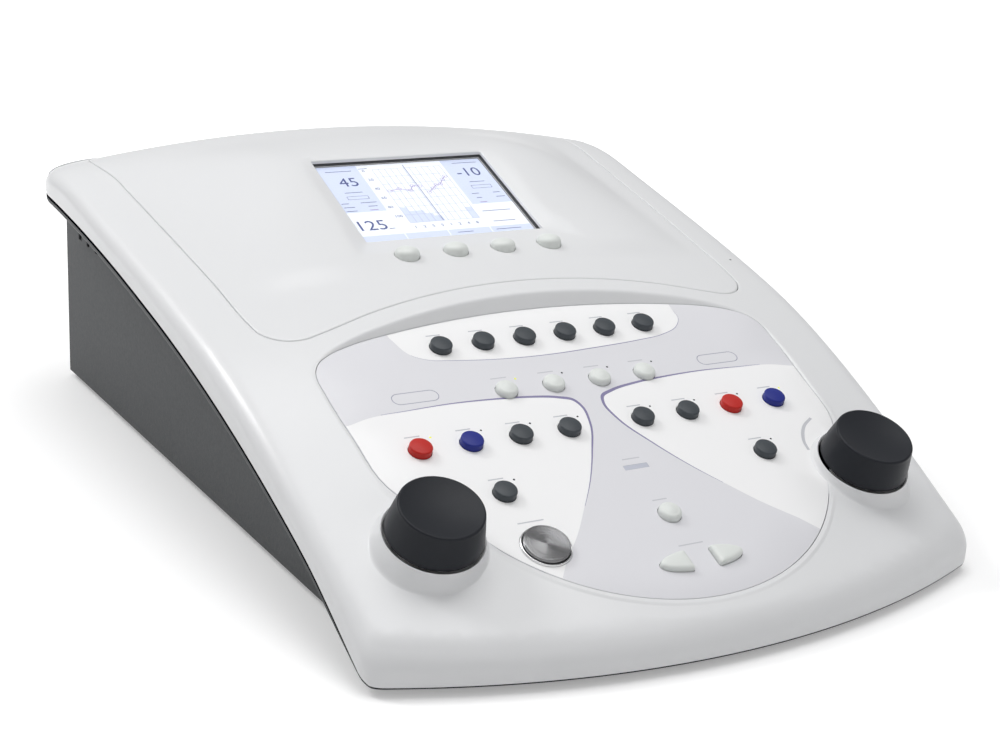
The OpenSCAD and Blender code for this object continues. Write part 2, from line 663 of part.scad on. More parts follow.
module dial(s) color(dial_black) on_pad([s * dial_x, dial_v, dial_low]) rotate_extrude($fn = 96) polygon(concat(
    [[shaft_r + shaft_gap, 0], [bush_r + 3, 0], [bush_r + 3, 1.5], [dial_foot_r - 2.4, 1.5], [dial_foot_r - 2.4, 0],
     [dial_foot_r - 0.5, 0], [dial_foot_r, 0.5]],
    [for (i = [1:5]) let (t = i / 6)
        [dial_foot_r - (dial_foot_r - dial_top_r - 0.4) * pow(t, 1.6), 0.5 + (dial_len - 1.3) * t]],
    [for (a = [0:30:90]) [dial_top_r - 0.6 + 0.8 * cos(a), dial_len - 0.8 + 0.8 * sin(a)]],
    [for (i = [1:7]) let (t = 1 - i / 7) [(dial_top_r - 0.9) * t, dial_len - dial_dish * (1 - t * t)]],
    [[0, shaft_top - dial_low + 0.2], [shaft_r + shaft_gap, shaft_top - dial_low + 0.2]]));

module shaft(s) color(steel) on_pad([s * dial_x, dial_v, 0]) difference() {
    translate([0, 0, encoder_top + 0.4]) cylinder(h = shaft_top - encoder_top - 0.4, r = shaft_r);
    translate([shaft_r - 0.8, -5, dial_low + 2]) cube([5, 10, 20]);
}

// Rotary encoder: square body on the board, bush through the collar
module encoder(s) color(dark_grey) on_pad([s * dial_x, dial_v, 0]) difference() {
    union() {
        translate([-7, -7, encoder_low]) cube([14, 14, encoder_top - encoder_low]);
        translate([0, 0, encoder_top - 1]) cylinder(h = 3.4 - encoder_top + 1, r = bush_r);
    }
    translate([0, 0, encoder_top - 0.6]) cylinder(h = 20, r = shaft_r + shaft_gap);
}

// ---- Soft keys ----

soft_floor = wall - 0.8;
soft_stem_low = -soft_floor - 0.3 - flange_t - 1.2;
module soft_key(i) color(pale) translate([soft_spots[i][0], soft_spots[i][1], sill_z])
    rotate_extrude() polygon(concat(
        [[0, soft_stem_low], [2, soft_stem_low], [2, -soft_floor - 0.3 - flange_t],
         [soft_r + 1.3, -soft_floor - 0.3 - flange_t], [soft_r + 1.3, -soft_floor - 0.3],
         [soft_r, -soft_floor - 0.3], [soft_r, 0.2]],
        [for (a = [10:10:80]) [soft_r * cos(a), 0.2 + 4 * sin(a)]],
        [[0, 4.2]]));

module soft_key_board() color(board_green) difference() {
    translate([-72, soft_y - 9, soft_board_z]) cube([144, 18, board_t]);
    for (s = [-1, 1]) translate([s * 66, soft_y, soft_board_z - 1]) cylinder(h = 4, r = screw_r);
}

// ---- Base ----

foot_spots = [[138, front_y + 66], [150, rear_y - 56]];
base_floor = foot_h + 3;
main_board_z = 22;
main_board_size = [236, 150];
main_board_mid = [-30, base_rear_y - 108];
supply_size = [84, 50, 34];
supply_at = [55, base_rear_y - 238];
main_posts = [for (x = [-1, 1]) for (y = [-1, 1])
    main_board_mid + [x * (main_board_size[0] / 2 - 6), y * (main_board_size[1] / 2 - 6)]];
// Flat, sunk panel on the back, for the sockets
panel_y = base_rear_y - 4;
socket_z = 44;
jack_x = [for (i = [0:jacks - 1]) -140 + i * jack_pitch];
port_x = 24;
inlet_x = 116;
rocker_x = 70;

module base_housing() color(dark_grey) difference() {
    union() {
        difference() {
            intersection() {
                translate([0, 0, foot_h]) linear_extrude(200) polygon(base_plan(0));
                below_rim(3.2);
            }
            translate([0, 0, base_floor]) linear_extrude(200) polygon(base_plan(base_wall));
        }
        difference() {
            union() {
                flange_slab(2, -5.2, -seam);
                flange_slab(3.4, -6.4, -5.3);
                flange_slab(6, -7.4, -6.5);
            }
            translate([0, 0, -20]) linear_extrude(300) polygon(base_plan(base_wall - 0.5));
            translate([0, 0, foot_h - 50]) cube([900, 900, 100], center = true);
        }
        both_sides() for (p = posts) translate([p[0], p[1], foot_h]) cylinder(h = p[2] - foot_h, r = post_r + 1);
        translate([-157, panel_y - base_wall, socket_z - 17]) cube([314, 2 * base_wall + 2, 34]);
        for (p = main_posts) translate([p[0], p[1], base_floor - 1])
            cylinder(h = main_board_z - base_floor + 1, r = 3.5);
    }
    both_sides() for (p = posts) translate([p[0], p[1], foot_h - 1]) {
        cylinder(h = 100, r = screw_r + 0.3);
        cylinder(h = p[2] - post_wall - foot_h + 1, r = 3.5);
    }
    translate([-154, panel_y, socket_z - 14]) cube([308, 30, 28]);
    for (p = main_posts) translate([p[0], p[1], main_board_z - 8]) cylinder(h = 10, r = screw_r + 0.05);
    both_sides() for (i = [0:vents - 1]) let (y = vent_y + i * vent_pitch)
        translate([100, y - vent_w / 2, rim(y) - 27.5]) cube([100, vent_w, 13]);
    for (x = jack_x) translate([x, rear_y - 30, socket_z]) rotate([-90, 0, 0]) cylinder(h = 40, r = 6.2);
    socket_hole(port_x, 12.6, 11.6);
    socket_hole(inlet_x, 28.4, 21.4);
    socket_hole(rocker_x, 14.4, 20.4);
}
module socket_hole(x, w, h) translate([x - w / 2, rear_y - 30, socket_z - h / 2]) cube([w, 40, h]);
vent_y = pad_y + 202;

module flange_slab(d, low, high) intersection() {
    translate([0, 0, -10]) linear_extrude(200) polygon(cover_plan(d));
    rim_band(low, high);
}

module rubber_feet() color(black) both_sides() for (p = foot_spots)
    translate([p[0], p[1], 0]) cylinder(h = foot_h, r1 = foot_r - 1, r2 = foot_r);

// ---- Boards and sockets in the base ----

module main_board() color(board_green) difference() {
    union() {
        translate([main_board_mid[0] - main_board_size[0] / 2, main_board_mid[1] - main_board_size[1] / 2, main_board_z])
            cube([main_board_size[0], main_board_size[1], board_t]);
        for (p = [[-90, 20], [-45, 20], [0, 20], [45, 20]])
            translate([main_board_mid[0] + p[0] - 11, main_board_mid[1] + p[1] - 11, main_board_z])
                cube([22, 22, board_t + 2.4]);
        for (x = [-100:20:-20])
            translate([main_board_mid[0] + x, main_board_mid[1] - 40, main_board_z]) cylinder(h = board_t + 12, r = 5);
    }
    for (p = main_posts) translate([p[0], p[1], main_board_z - 1]) cylinder(h = 5, r = screw_r + 0.2);
}

module power_supply() color(steel) translate([supply_at[0], supply_at[1], base_floor]) cube(supply_size);

// Flat ribbon from the display down to the main board
ribbon_w = 30;
module display_ribbon() color([0.8, 0.8, 0.78]) {
    top = [lcd_y + 20 * cos(lcd_tilt) + 9 * sin(lcd_tilt), lcd_mid_h + 20 * sin(lcd_tilt) - 9 * cos(lcd_tilt) - 0.1];
    low = [main_board_mid[1] - 20, main_board_z + board_t + 0.1];
    path = concat([for (i = [0:10]) let (t = i / 10)
        [top[0] + (low[0] - top[0]) * smooth(t) + 18 * sin(180 * t), top[1] + (low[1] - top[1]) * t]]);
    translate([-60, 0, 0]) rotate([90, 0, 90]) linear_extrude(ribbon_w) polygon(concat(
        path, [for (i = [10:-1:0]) path[i] + [0.6, 0]]));
}

// Jack socket: nut outside, barrel inside, with a bore for the plug
jack_depth = 26;
module at_panel(x) { translate([x, panel_y, socket_z]) children(); }
module jack_sockets() color(steel) for (x = jack_x) at_panel(x) rotate([90, 0, 0]) difference() {
    union() {
        translate([0, 0, -2.2]) cylinder(h = 2, r = 8, $fn = 6);
        translate([0, 0, -3]) cylinder(h = base_wall + 5, r = 6.1);
        translate([-8, -8, base_wall + 0.2]) cube([16, 16, jack_depth - 3]);
    }
    translate([0, 0, -4]) cylinder(h = jack_depth, r = jack_bore_r);
}

module data_port() color(steel) at_panel(port_x) difference() {
    union() {
        translate([-6, -16, -5.5]) cube([12, 16.4, 11]);
        translate([-8, -16, -7]) cube([16, 16 - base_wall - 0.2, 14]);
    }
    translate([-4.3, -8, -4]) cube([8.6, 20, 8]);
}

module power_inlet() color(black) at_panel(inlet_x) difference() {
    union() {
        translate([-14, -22, -10.5]) cube([28, 23, 21]);
        translate([-17, 0, -13]) cube([34, 2, 26]);
    }
    translate([-12, -16, -8]) cube([24, 30, 16]);
}

// Rocker switch: body with a bezel, and the rocker on its pivot
pivot_y = -3;
rocker_turn = 8;
module power_switch() color(black) at_panel(rocker_x) difference() {
    union() {
        translate([-7, -18, -10]) cube([14, 19, 20]);
        translate([-8.5, 0, -11.5]) cube([17, 1.6, 23]);
    }
    translate([-5.6, -10.5, -9]) cube([11.2, 20, 18]);
    translate([-6.5, pivot_y, 0]) rotate([0, 90, 0]) cylinder(h = 13, r = 1.05);
}

module power_rocker() color(black) at_panel(rocker_x) union() {
    translate([0, pivot_y, 0]) rotate([90, 0, 90]) linear_extrude(10.6, center = true) polygon(
        [[-5.6, 0], [-4, -6.2], [0, -8], [5.4, -8.2], [4.2, 0], [5.4, 8.2], [0, 8], [-4, 6.2]]);
    translate([-6.3, pivot_y, 0]) rotate([0, 90, 0]) cylinder(h = 12.6, r = 1);
}

// ---- Screws ----

module base_screws() color(steel) both_sides() for (p = posts) translate([p[0], p[1], p[2] - post_wall]) {
    translate([0, 0, -2.4]) cylinder(h = 2.4, r = 2.9);
    translate([0, 0, -0.1]) cylinder(h = post_wall + screw_grip, r = screw_r);
}

module board_screws() color(steel) {
    on_pad() for (p = board_posts) translate([p[0], p[1], board_top - board_t]) {
        translate([0, 0, -2]) cylinder(h = 2, r = 2.8);
        translate([0, 0, -0.1]) cylinder(h = 6.5, r = screw_r);
    }
    for (p = main_posts) translate([p[0], p[1], main_board_z + board_t]) {
        cylinder(h = 2, r = 2.8);
        translate([0, 0, -8]) cylinder(h = 8.1, r = screw_r);
    }
}

// ---- Nodes ----

left_colours = [key_grey, key_grey, blue, red, key_grey];
right_colours = [key_grey, key_grey, red, blue, key_grey];

top_cover();
display_hood();
keypad_overlay();
base_housing();
rubber_feet();
lcd_window();
lcd_screen();
lcd_frame();
keypad_board();
soft_key_board();
key_switches();
key_lights();
response_window();
interrupter_ring();
interrupter_key();
dial(-1);  // left_dial
dial(1);  // right_dial
shaft(-1);  // left_shaft
shaft(1);  // right_shaft
encoder(-1);  // left_encoder
encoder(1);  // right_encoder
round_key(store_spot, pale);  // store_key
frequency_key(-1);  // frequency_down_key
frequency_key(1);  // frequency_up_key
for (i = [0:5]) round_key(menu_spots[i], key_grey);
for (i = [0:3]) round_key(mode_spots[i], pale);
for (i = [0:4]) round_key(left_spots[i], left_colours[i]);
for (i = [0:4]) round_key(right_spots[i], right_colours[i]);
for (i = [0:3]) soft_key(i);
main_board();
power_supply();
display_ribbon();
jack_sockets();
data_port();
power_inlet();
power_switch();
power_rocker();
base_screws();
board_screws();
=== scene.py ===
"""Desktop audiometer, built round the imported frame.

Sizes are in millimetres; meshes are scaled to metres when they are made.
+X is the user's right, +Y the back and +Z up, with the origin on the desk.
"""

from __future__ import annotations

import json
import logging
import math
from dataclasses import dataclass
from enum import Enum
from typing import Callable

import bmesh
import bpy
import numpy as np
from mathutils import Matrix, Vector
from mathutils.geometry import delaunay_2d_cdt

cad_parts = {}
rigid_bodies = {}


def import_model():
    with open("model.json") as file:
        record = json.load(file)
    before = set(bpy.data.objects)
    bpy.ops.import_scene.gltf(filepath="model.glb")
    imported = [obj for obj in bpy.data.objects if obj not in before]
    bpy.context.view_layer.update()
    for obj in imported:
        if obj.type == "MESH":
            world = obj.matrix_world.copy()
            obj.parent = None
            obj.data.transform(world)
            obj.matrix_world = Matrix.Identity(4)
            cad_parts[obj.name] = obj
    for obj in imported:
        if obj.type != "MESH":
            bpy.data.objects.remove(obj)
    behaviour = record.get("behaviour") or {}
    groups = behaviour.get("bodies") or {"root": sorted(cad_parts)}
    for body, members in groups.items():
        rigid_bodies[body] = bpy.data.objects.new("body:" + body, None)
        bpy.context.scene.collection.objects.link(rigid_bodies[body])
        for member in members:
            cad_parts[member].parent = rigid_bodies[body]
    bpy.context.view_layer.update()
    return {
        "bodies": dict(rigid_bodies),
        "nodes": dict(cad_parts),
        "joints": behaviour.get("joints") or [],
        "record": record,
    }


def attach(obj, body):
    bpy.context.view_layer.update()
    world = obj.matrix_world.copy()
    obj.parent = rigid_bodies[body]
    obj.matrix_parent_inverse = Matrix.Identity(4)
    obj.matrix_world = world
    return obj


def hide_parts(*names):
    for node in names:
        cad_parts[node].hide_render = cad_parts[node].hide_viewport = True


LOG = logging.getLogger("audiometer")
MM = 0.001
Array = np.ndarray


# ---- Curves and flat regions ----


def hermite(t: Array, a: float, b: float, ma: float, mb: float) -> Array:
    """Cubic from a to b over t 0 to 1, with end rises ma and mb."""
    return (a * (1 - 3 * t**2 + 2 * t**3) + b * (3 * t**2 - 2 * t**3)
            + ma * t * (1 - t) ** 2 - mb * t**2 * (1 - t))


def smooth(t: Array) -> Array:
    """Ease from 0 to 1: 3t^2 - 2t^3, held outside 0 to 1."""
    c = np.clip(t, 0, 1)
    return c * c * (3 - 2 * c)


def soft_min(a: Array, b: Array, k: float) -> Array:
    """Lower of two heights, rounded over a band k where they cross."""
    h = np.clip(0.5 + 0.5 * (b - a) / k, 0, 1)
    return b * (1 - h) + a * h - k * h * (1 - h)


def soft_max(a: Array, b: Array, k: float) -> Array:
    """Higher of two heights, rounded over a band k where they cross."""
    return -soft_min(-a, -b, k)


def arc(centre: tuple[float, float], r: float, a0: float, a1: float, n: int) -> Array:
    """Points on a circle from angle a0 to a1 in degrees: centre + r (cos, sin)."""
    a = np.radians(np.linspace(a0, a1, n + 1))
    return np.column_stack([centre[0] + r * np.cos(a), centre[1] + r * np.sin(a)])


def mirrored(half: Array) -> Array:
    """Closed outline from its right half, first and last points on the middle line."""
    return np.concatenate([half, half[-2:0:-1] * [-1, 1]])


def curve(points: Array, per: int, closed: bool = True) -> Array:
    """Smooth curve through points.

    Each span is a cubic whose end tangents run from the previous to the next
    point, scaled by the chord lengths.

    Args:
        points: corner points, n by 2.
        per: points put on each span.
        closed: whether the last point joins the first.

    Returns:
        The dense points, without the repeated end of a closed curve.
    """
    if closed:
        before, after, end = np.roll(points, 1, 0), np.roll(points, -1, 0), np.roll(points, -2, 0)
        a, b = points, after
    else:
        a, b = points[:-1], points[1:]
        before = np.concatenate([2 * points[:1] - points[1:2], points[:-2]])
        end = np.concatenate([points[2:], 2 * points[-1:] - points[-2:-1]])
    d0 = np.linalg.norm(a - before, axis=1, keepdims=True)
    d1 = np.linalg.norm(b - a, axis=1, keepdims=True)
    d2 = np.linalg.norm(end - b, axis=1, keepdims=True)
    ta = ((a - before) / d0 * d1 + (b - a) / d1 * d0) / (d0 + d1) * d1
    tb = ((b - a) / d1 * d2 + (end - b) / d2 * d1) / (d1 + d2) * d1
    t = np.linspace(0, 1, per, endpoint=False)[None, :, None]
    a, b, ta, tb = (q[:, None, :] for q in (a, b, ta, tb))
    dense = (a * (1 - 3 * t**2 + 2 * t**3) + b * (3 * t**2 - 2 * t**3)
             + ta * (t - 2 * t**2 + t**3) + tb * (t**3 - t**2)).reshape(-1, 2)
    return dense if closed else np.concatenate([dense, points[-1:]])


def grow(points: Array, g: float) -> Array:
    """Closed counter-clockwise outline moved out by g along its corner normals."""
    a, c = np.roll(points, 1, 0), np.roll(points, -1, 0)
    u = (points - a) / np.linalg.norm(points - a, axis=1, keepdims=True)
    v = (c - points) / np.linalg.norm(c - points, axis=1, keepdims=True)
    m = np.column_stack([u[:, 1] + v[:, 1], -u[:, 0] - v[:, 0]])
    return points + g * 2 * m / (m * m).sum(1, keepdims=True)


def inside(points: Array, outline: Array) -> Array:
    """True for each point inside a closed outline, by counting edges crossed."""
    a, b = outline, np.roll(outline, -1, 0)
    px, py = points[:, :1], points[:, 1:2]
    spans = (a[:, 1] > py) != (b[:, 1] > py)
    rise = np.where(b[:, 1] == a[:, 1], 1e-12, b[:, 1] - a[:, 1])
    cross = (b[:, 0] - a[:, 0]) * (py - a[:, 1]) / rise + a[:, 0]
    return (spans & (px < cross)).sum(1) % 2 == 1


def distance(points: Array, outline: Array) -> Array:
    """Distance of each point from a closed outline's nearest edge."""
    a, b = outline, np.roll(outline, -1, 0)
    best = np.full(len(points), 1e9)
    for k in range(0, len(points), 3000):
        p = points[k:k + 3000, None, :]
        along = ((p - a) * (b - a)).sum(2) / np.maximum(((b - a) ** 2).sum(1), 1e-12)
        near = a + np.clip(along, 0, 1)[..., None] * (b - a)
        best[k:k + 3000] = np.sqrt(((p - near) ** 2).sum(2)).min(1)
    return best


def lattice(lo: tuple[float, float], hi: tuple[float, float], step: float) -> Array:
    """Points of a triangular lattice over a box, every second row shifted by half a step."""
    xs, ys = np.arange(lo[0], hi[0], step), np.arange(lo[1], hi[1], step * 0.866)
    x, y = np.meshgrid(xs, ys)
    return np.column_stack([(x + (np.arange(len(ys)) % 2)[:, None] * step / 2).ravel(), y.ravel()])


def fill(loops: list[Array], spots: Array, keep: Callable[[Array], Array]) -> tuple[Array, Array]:
    """Triangles over a flat region.

    Args:
        loops: closed outlines whose edges the triangles follow.
        spots: free points between them.
        keep: tells for each triangle's middle whether it belongs to the region.

    Returns:
        The points and the triangles that are kept.
    """
    edges, start = [], 0
    for loop in loops:
        n = len(loop)
        edges += [(start + i, start + (i + 1) % n) for i in range(n)]
        start += n
    coords = np.concatenate([*loops, spots]) if len(spots) else np.concatenate(loops)
    out = delaunay_2d_cdt([Vector(p) for p in coords.tolist()], edges, [], 0, 1e-5)
    points = np.array([(v[0], v[1]) for v in out[0]])
    faces = np.array(out[2])
    faces = faces[keep(points[faces].mean(1))]
    return points, turn_slivers(points, faces)


def turn_slivers(points: Array, faces: Array) -> Array:
    """Share out the triangles that lie along three points in a row.

    The longest edge of such a triangle and of its neighbour is turned to the
    other two corners, so neither of the two new triangles is a sliver. One
    with no neighbour there lies outside the region's edge and is left out.
    """
    spare = []
    a, b, c = (points[faces[:, k]] for k in range(3))
    area = np.abs((b - a)[:, 0] * (c - a)[:, 1] - (b - a)[:, 1] * (c - a)[:, 0]) / 2
    for k in np.nonzero(area < 0.01)[0]:
        tri = faces[k]
        i = max(range(3), key=lambda j: float(np.linalg.norm(points[tri[j]] - points[tri[(j + 1) % 3]])))
        p, q, r = tri[i], tri[(i + 1) % 3], tri[(i + 2) % 3]
        near = [m for m in np.nonzero((faces == p).any(1) & (faces == q).any(1))[0] if m != k]
        if near:
            s = next(v for v in faces[near[0]] if v not in (p, q))
            faces[k], faces[near[0]] = (p, s, r), (s, q, r)
        else:
            spare.append(k)
    return np.delete(faces, spare, axis=0)


def between(outer: Array, holes: list[Array]) -> Callable[[Array], Array]:
    """Test for points that lie inside an outline and outside every hole in it."""
    def keep(points: Array) -> Array:
        """True for each point of the region."""
        ok = inside(points, outer)
        for hole in holes:
            ok &= ~inside(points, hole)
        return ok
    return keep


def lowered(loops: list[tuple[Array, float]], height: Callable[[Array], Array]) -> Array:
    """Rows from plan outlines, each of which lies a given depth under a surface."""
    return np.stack([np.column_stack([p, height(p) - down]) for p, down in loops])


def hand(side: int) -> str:
    """Name of a side: left for -1, right for 1."""
    return "left" if side < 0 else "right"


# ---- The body's form ----


@dataclass(frozen=True)
class Leaning:
    """A flat frame that leans back: x across, v up its slope, n out of it."""

    y: float
    z: float
    tilt: float

    def place(self, x: Array, v: Array, n: Array) -> Array:
        """World points of frame points, stacked on a last axis of 3."""
        x, v, n = np.broadcast_arrays(np.asarray(x, float), v, n)
        c, s = math.cos(math.radians(self.tilt)), math.sin(math.radians(self.tilt))
        return np.stack([x, self.y + v * c - n * s, self.z + v * s + n * c], -1)

    def level(self, x: Array, v: Array, height: Callable[[Array, Array], Array]) -> Array:
        """Height n at which the frame point (x, v, n) lies on a surface z = height(x, y)."""
        c, s = math.cos(math.radians(self.tilt)), math.sin(math.radians(self.tilt))
        n = np.zeros_like(x + v)
        for _ in range(12):
            n = n + ((height(x, self.y + v * c - n * s) - self.z - v * s) - n * c) / 1.1
        return n


# Planes of the keypad, the display and the soft keys' sill; places of the soft keys and the dials in them.
PAD = Leaning(-90.5, 95.3, 22.6)
LCD = Leaning(83.0, 147.2, 20.0)
SILL = Leaning(9.5, 134.93, 0.0)
SOFT_KEY_X = (-47.1, -15.7, 15.7, 47.1)
DIAL_X, DIAL_V = 130.0, -109.8


@dataclass(frozen=True)
class Form:
    """Outlines and heights of the cover and of the hood."""

    depth: float = 539.0
    front_half: float = 179.5
    rear_half: float = 201.0
    body_half: float = 200.5
    front_bow: float = 38.0
    rear_bow: float = 7.0
    front_corner: float = 14.0
    rear_corner: float = 60.0
    shoulder: float = 10.5
    front_drop: float = 10.5
    rear_drop: float = 7.5
    crown: float = 2040.0
    rim_front: float = 10.5
    rim_rear: float = 129.0
    rim_slope: float = 0.54
    lip_rise: float = 7.0
    rise_start: float = 40.0
    rise_run: float = 190.0
    lip_fall: float = 5.3
    nose_end: float = -232.0
    nose_run: float = 70.0
    hump_rise: float = 10.4
    pocket_slope: float = 13 / 15.7
    sunk: float = 4.2

    @property
    def front(self) -> float:
        """Depth of the front tip."""
        return -self.depth / 2

    @property
    def rear(self) -> float:
        """Depth of the rear edge."""
        return self.depth / 2

    def spine(self, y: Array) -> Array:
        """Height along the middle line: a straight lip, then three cubics that meet smoothly."""
        lip, arch, ridge = self.front + 18, -30.5, 159.5
        lip_z, arch_z, ridge_z, rear_z = 28.28, 124.9, 163.4, 147.0
        return np.select(
            [y < lip, y < arch, y < ridge],
            [lip_z + 0.52 * (y - lip),
             hermite((y - lip) / (arch - lip), lip_z, arch_z, 0.52 * (arch - lip), 0.245 * (arch - lip)),
             hermite((y - arch) / (ridge - arch), arch_z, ridge_z, 0.245 * (ridge - arch), 0.195 * (ridge - arch))],
            hermite(np.minimum((y - ridge) / (self.rear - ridge), 1), ridge_z, rear_z,
                    0.195 * (self.rear - ridge), -0.6 * (self.rear - ridge)))

    def skin(self, x: Array, y: Array) -> Array:
        """Crowned surface: the spine less x squared over the crown."""
        return self.spine(y) - x * x / self.crown

    def drop(self, y: Array) -> Array:
        """Fall of the rounded shoulder at depth y."""
        return self.front_drop + (self.rear_drop - self.front_drop) * (y - self.front) / self.depth

    def rim(self, y: Array) -> Array:
        """Height of the cover's lower edge in the frame: level, then one cubic."""
        start = self.front + self.front_bow + 2
        t = np.clip((y - start) / (self.rear - start), 0, 1)
        return np.where(y < start, self.rim_front,
                        hermite(t, self.rim_front, self.rim_rear, self.rim_slope * (self.rear - start), 0.0))

    def nose(self, y: Array) -> Array:
        """Share of what changes at the front only: 1 at the front tip, eased to 0 behind it."""
        return 1 - smooth((y - self.nose_end) / self.nose_run)

    def lip(self, y: Array) -> Array:
        """Height of the finished lower edge: the rim, lowered at the front and raised at the rear.

        The rise is lip_rise t^1.4, where t is held from 0.85 on.
        """
        back = self.lip_rise * np.clip((y - self.rise_start) / self.rise_run, 0, 0.85) ** 1.4
        return self.rim(y) + back - self.lip_fall * self.nose(y)

    def plan(self, d: float) -> Array:
        """Outline of the cover in plan, drawn in by d: bows, corner arcs and slanted sides."""
        wf, wr = self.front_half - d, self.rear_half - d
        y0, y1 = self.front + d, self.rear - d
        r0, r1 = max(self.front_corner - d, 2), max(self.rear_corner - d, 2)
        k = (wr - wf) / (y1 - y0)
        w0 = wf - k * y0
        big0 = (wf**2 + self.front_bow**2) / (2 * self.front_bow)
        big1 = (wr**2 + self.rear_bow**2) / (2 * self.rear_bow)
        c0, c1 = y0 + big0, y1 - big1
        p0, p1 = self._corner(w0, k, c0, big0, r0, -1), self._corner(w0, k, c1, big1, r1, 1)
        a0 = math.degrees(math.atan2(p0[1] - c0, p0[0]))
        a1 = math.degrees(math.atan2(p1[1] - c1, p1[0]))
        side = -math.degrees(math.atan(k))
        u = np.array([math.cos(math.radians(side)), math.sin(math.radians(side))])
        t = np.linspace(0, 1, 41)[1:-1, None]
        half = np.concatenate([
            arc((0, c0), big0, -90, a0, 40),
            arc(p0, r0, a0 + (side - a0) / 12, side, 11),
            (np.array(p0) + r0 * u) * (1 - t) + (np.array(p1) + r1 * u) * t,
            arc(p1, r1, side, side + (a1 - side) * 23 / 24, 23),
            arc((0, c1), big1, a1, 90, 24)])
        return mirrored(half)

    @staticmethod
    def _corner(w0: float, k: float, cy: float, big: float, r: float, end: int) -> tuple[float, float]:
        """Centre of a circle of radius r that touches both a bow and a slanted side from inside."""
        a, d, q = w0 - r * math.sqrt(1 + k * k), big - r, 1 + k * k
        b = a * k - cy
        y = (-b + end * math.sqrt(b * b - q * (a * a + cy * cy - d * d))) / q
        return a + k * y, y

    def shoulder_ring(self, angle: float) -> Array:
        """Ring on the shoulder: drawn in by w (1 - cos a), lowered by d (1 - sin a).

        The fall d is the shoulder's, or less where the lip is close under the skin.
        """
        p = self.plan(self.shoulder * (1 - math.cos(angle)))
        z = self.skin(p[:, 0], p[:, 1])
        fall = np.maximum(np.minimum(self.drop(p[:, 1]), z - self.lip(p[:, 1]) - 1.6), 0.5)
        return np.column_stack([p, z - fall * (1 - math.sin(angle))])

    def top(self, x: Array, y: Array) -> Array:
        """Cover's height well inside its edge: the skin with the start of the rear shoulder."""
        back = self.rear - self.rear_bow * (x / self.body_half) ** 2 - y
        edge = np.clip((self.shoulder - back) / self.shoulder, 0, 0.97)
        return self.skin(x, y) - self.drop(y) * (1 - np.sqrt(1 - edge * edge))

    def pad_outline(self) -> Array:
        """Outline of the keypad in its own plane: a round front, a corner each side, a bowed top."""
        x = np.array([110.0, 88, 66, 44, 22, 0])
        half = np.concatenate([
            arc((0, -54), 121, -90, -30, 9),
            [[123, -94], [136.5, -72], [140, -36], [141.6, 0]],
            arc((121.6, 8), 20, 10, 62, 4),
            np.column_stack([x, 46.6 - x * x / 960])])
        return curve(mirrored(half), 5)

    def hood_outline(self) -> Array:
        """Outline of the hood in plan: a hollow front, round lobes, long sides, a straight back."""
        y0, side = -29.5, lambda y: 156.5 + (y + 29.5) * 0.054
        x, x2 = np.array([0.0, 30, 60, 90]), np.array([77.0, 37, 0])
        lobe_y, end = y0 + 2, self.rear - 60
        ys = lobe_y + (end - lobe_y) * np.arange(1, 5) / 5
        half = np.concatenate([
            np.column_stack([x, y0 - x * x / 840]),
            arc((side(lobe_y) - 22, lobe_y), 22, -108, 0, 6),
            np.column_stack([side(ys), ys]),
            arc((side(end) - 44, end), 44, 0, 84, 6),
            np.column_stack([x2, self.rear - 13.4 - x2 * x2 / 5000])])
        return curve(mirrored(half), 6)

    def hood_top(self, x: Array, y: Array) -> Array:
        """Hood before the recess is cut: the cover's surface, a swelling and a flattened middle.

        The swelling is flat within 72 mm of the middle and falls to a soft crease
        at 146 mm. The crown is taken out where the display and the soft keys lie.
        """
        u = np.clip((np.abs(x) - 72) / 74, 0, 1)
        across = 0.6 * (1 - u * u) + 0.4 * (1 - smooth(u))
        fall = 1 - smooth((y - LCD.y - 40) / 76)
        along = smooth((y - LCD.y + 48) / 88) * fall
        flat = smooth((y - LCD.y + 93) / 22) * fall
        return self.top(x, y) + (self.hump_rise * along + x * x / self.crown * flat) * across

    def hood(self, x: Array, y: Array) -> Array:
        """Hood's height: its top, cut by the recess of the display and of the soft keys.

        The recess has a leaning floor before the display and a level sill in
        front of it. Its sides rise outwards by 0.36, its head by 3.0.
        """
        t = math.radians(LCD.tilt)
        lean = LCD.z + math.tan(t) * (y - LCD.y) + self.sunk / math.cos(t)
        floor = soft_max(lean, np.full_like(y, SILL.z), 1.2)
        half = np.where(y < 37, 59.6 + (37 - y) * 0.62, 59.6 + (y - 37) * 0.02)
        side = 0.36 * soft_max(np.abs(x) - half, np.zeros_like(x), 2.0)
        head = 3.0 * np.maximum(y - 123.0, 0)
        return soft_min(self.hood_top(x, y), floor + np.maximum(side, head), 1.3)


# ---- Meshes ----


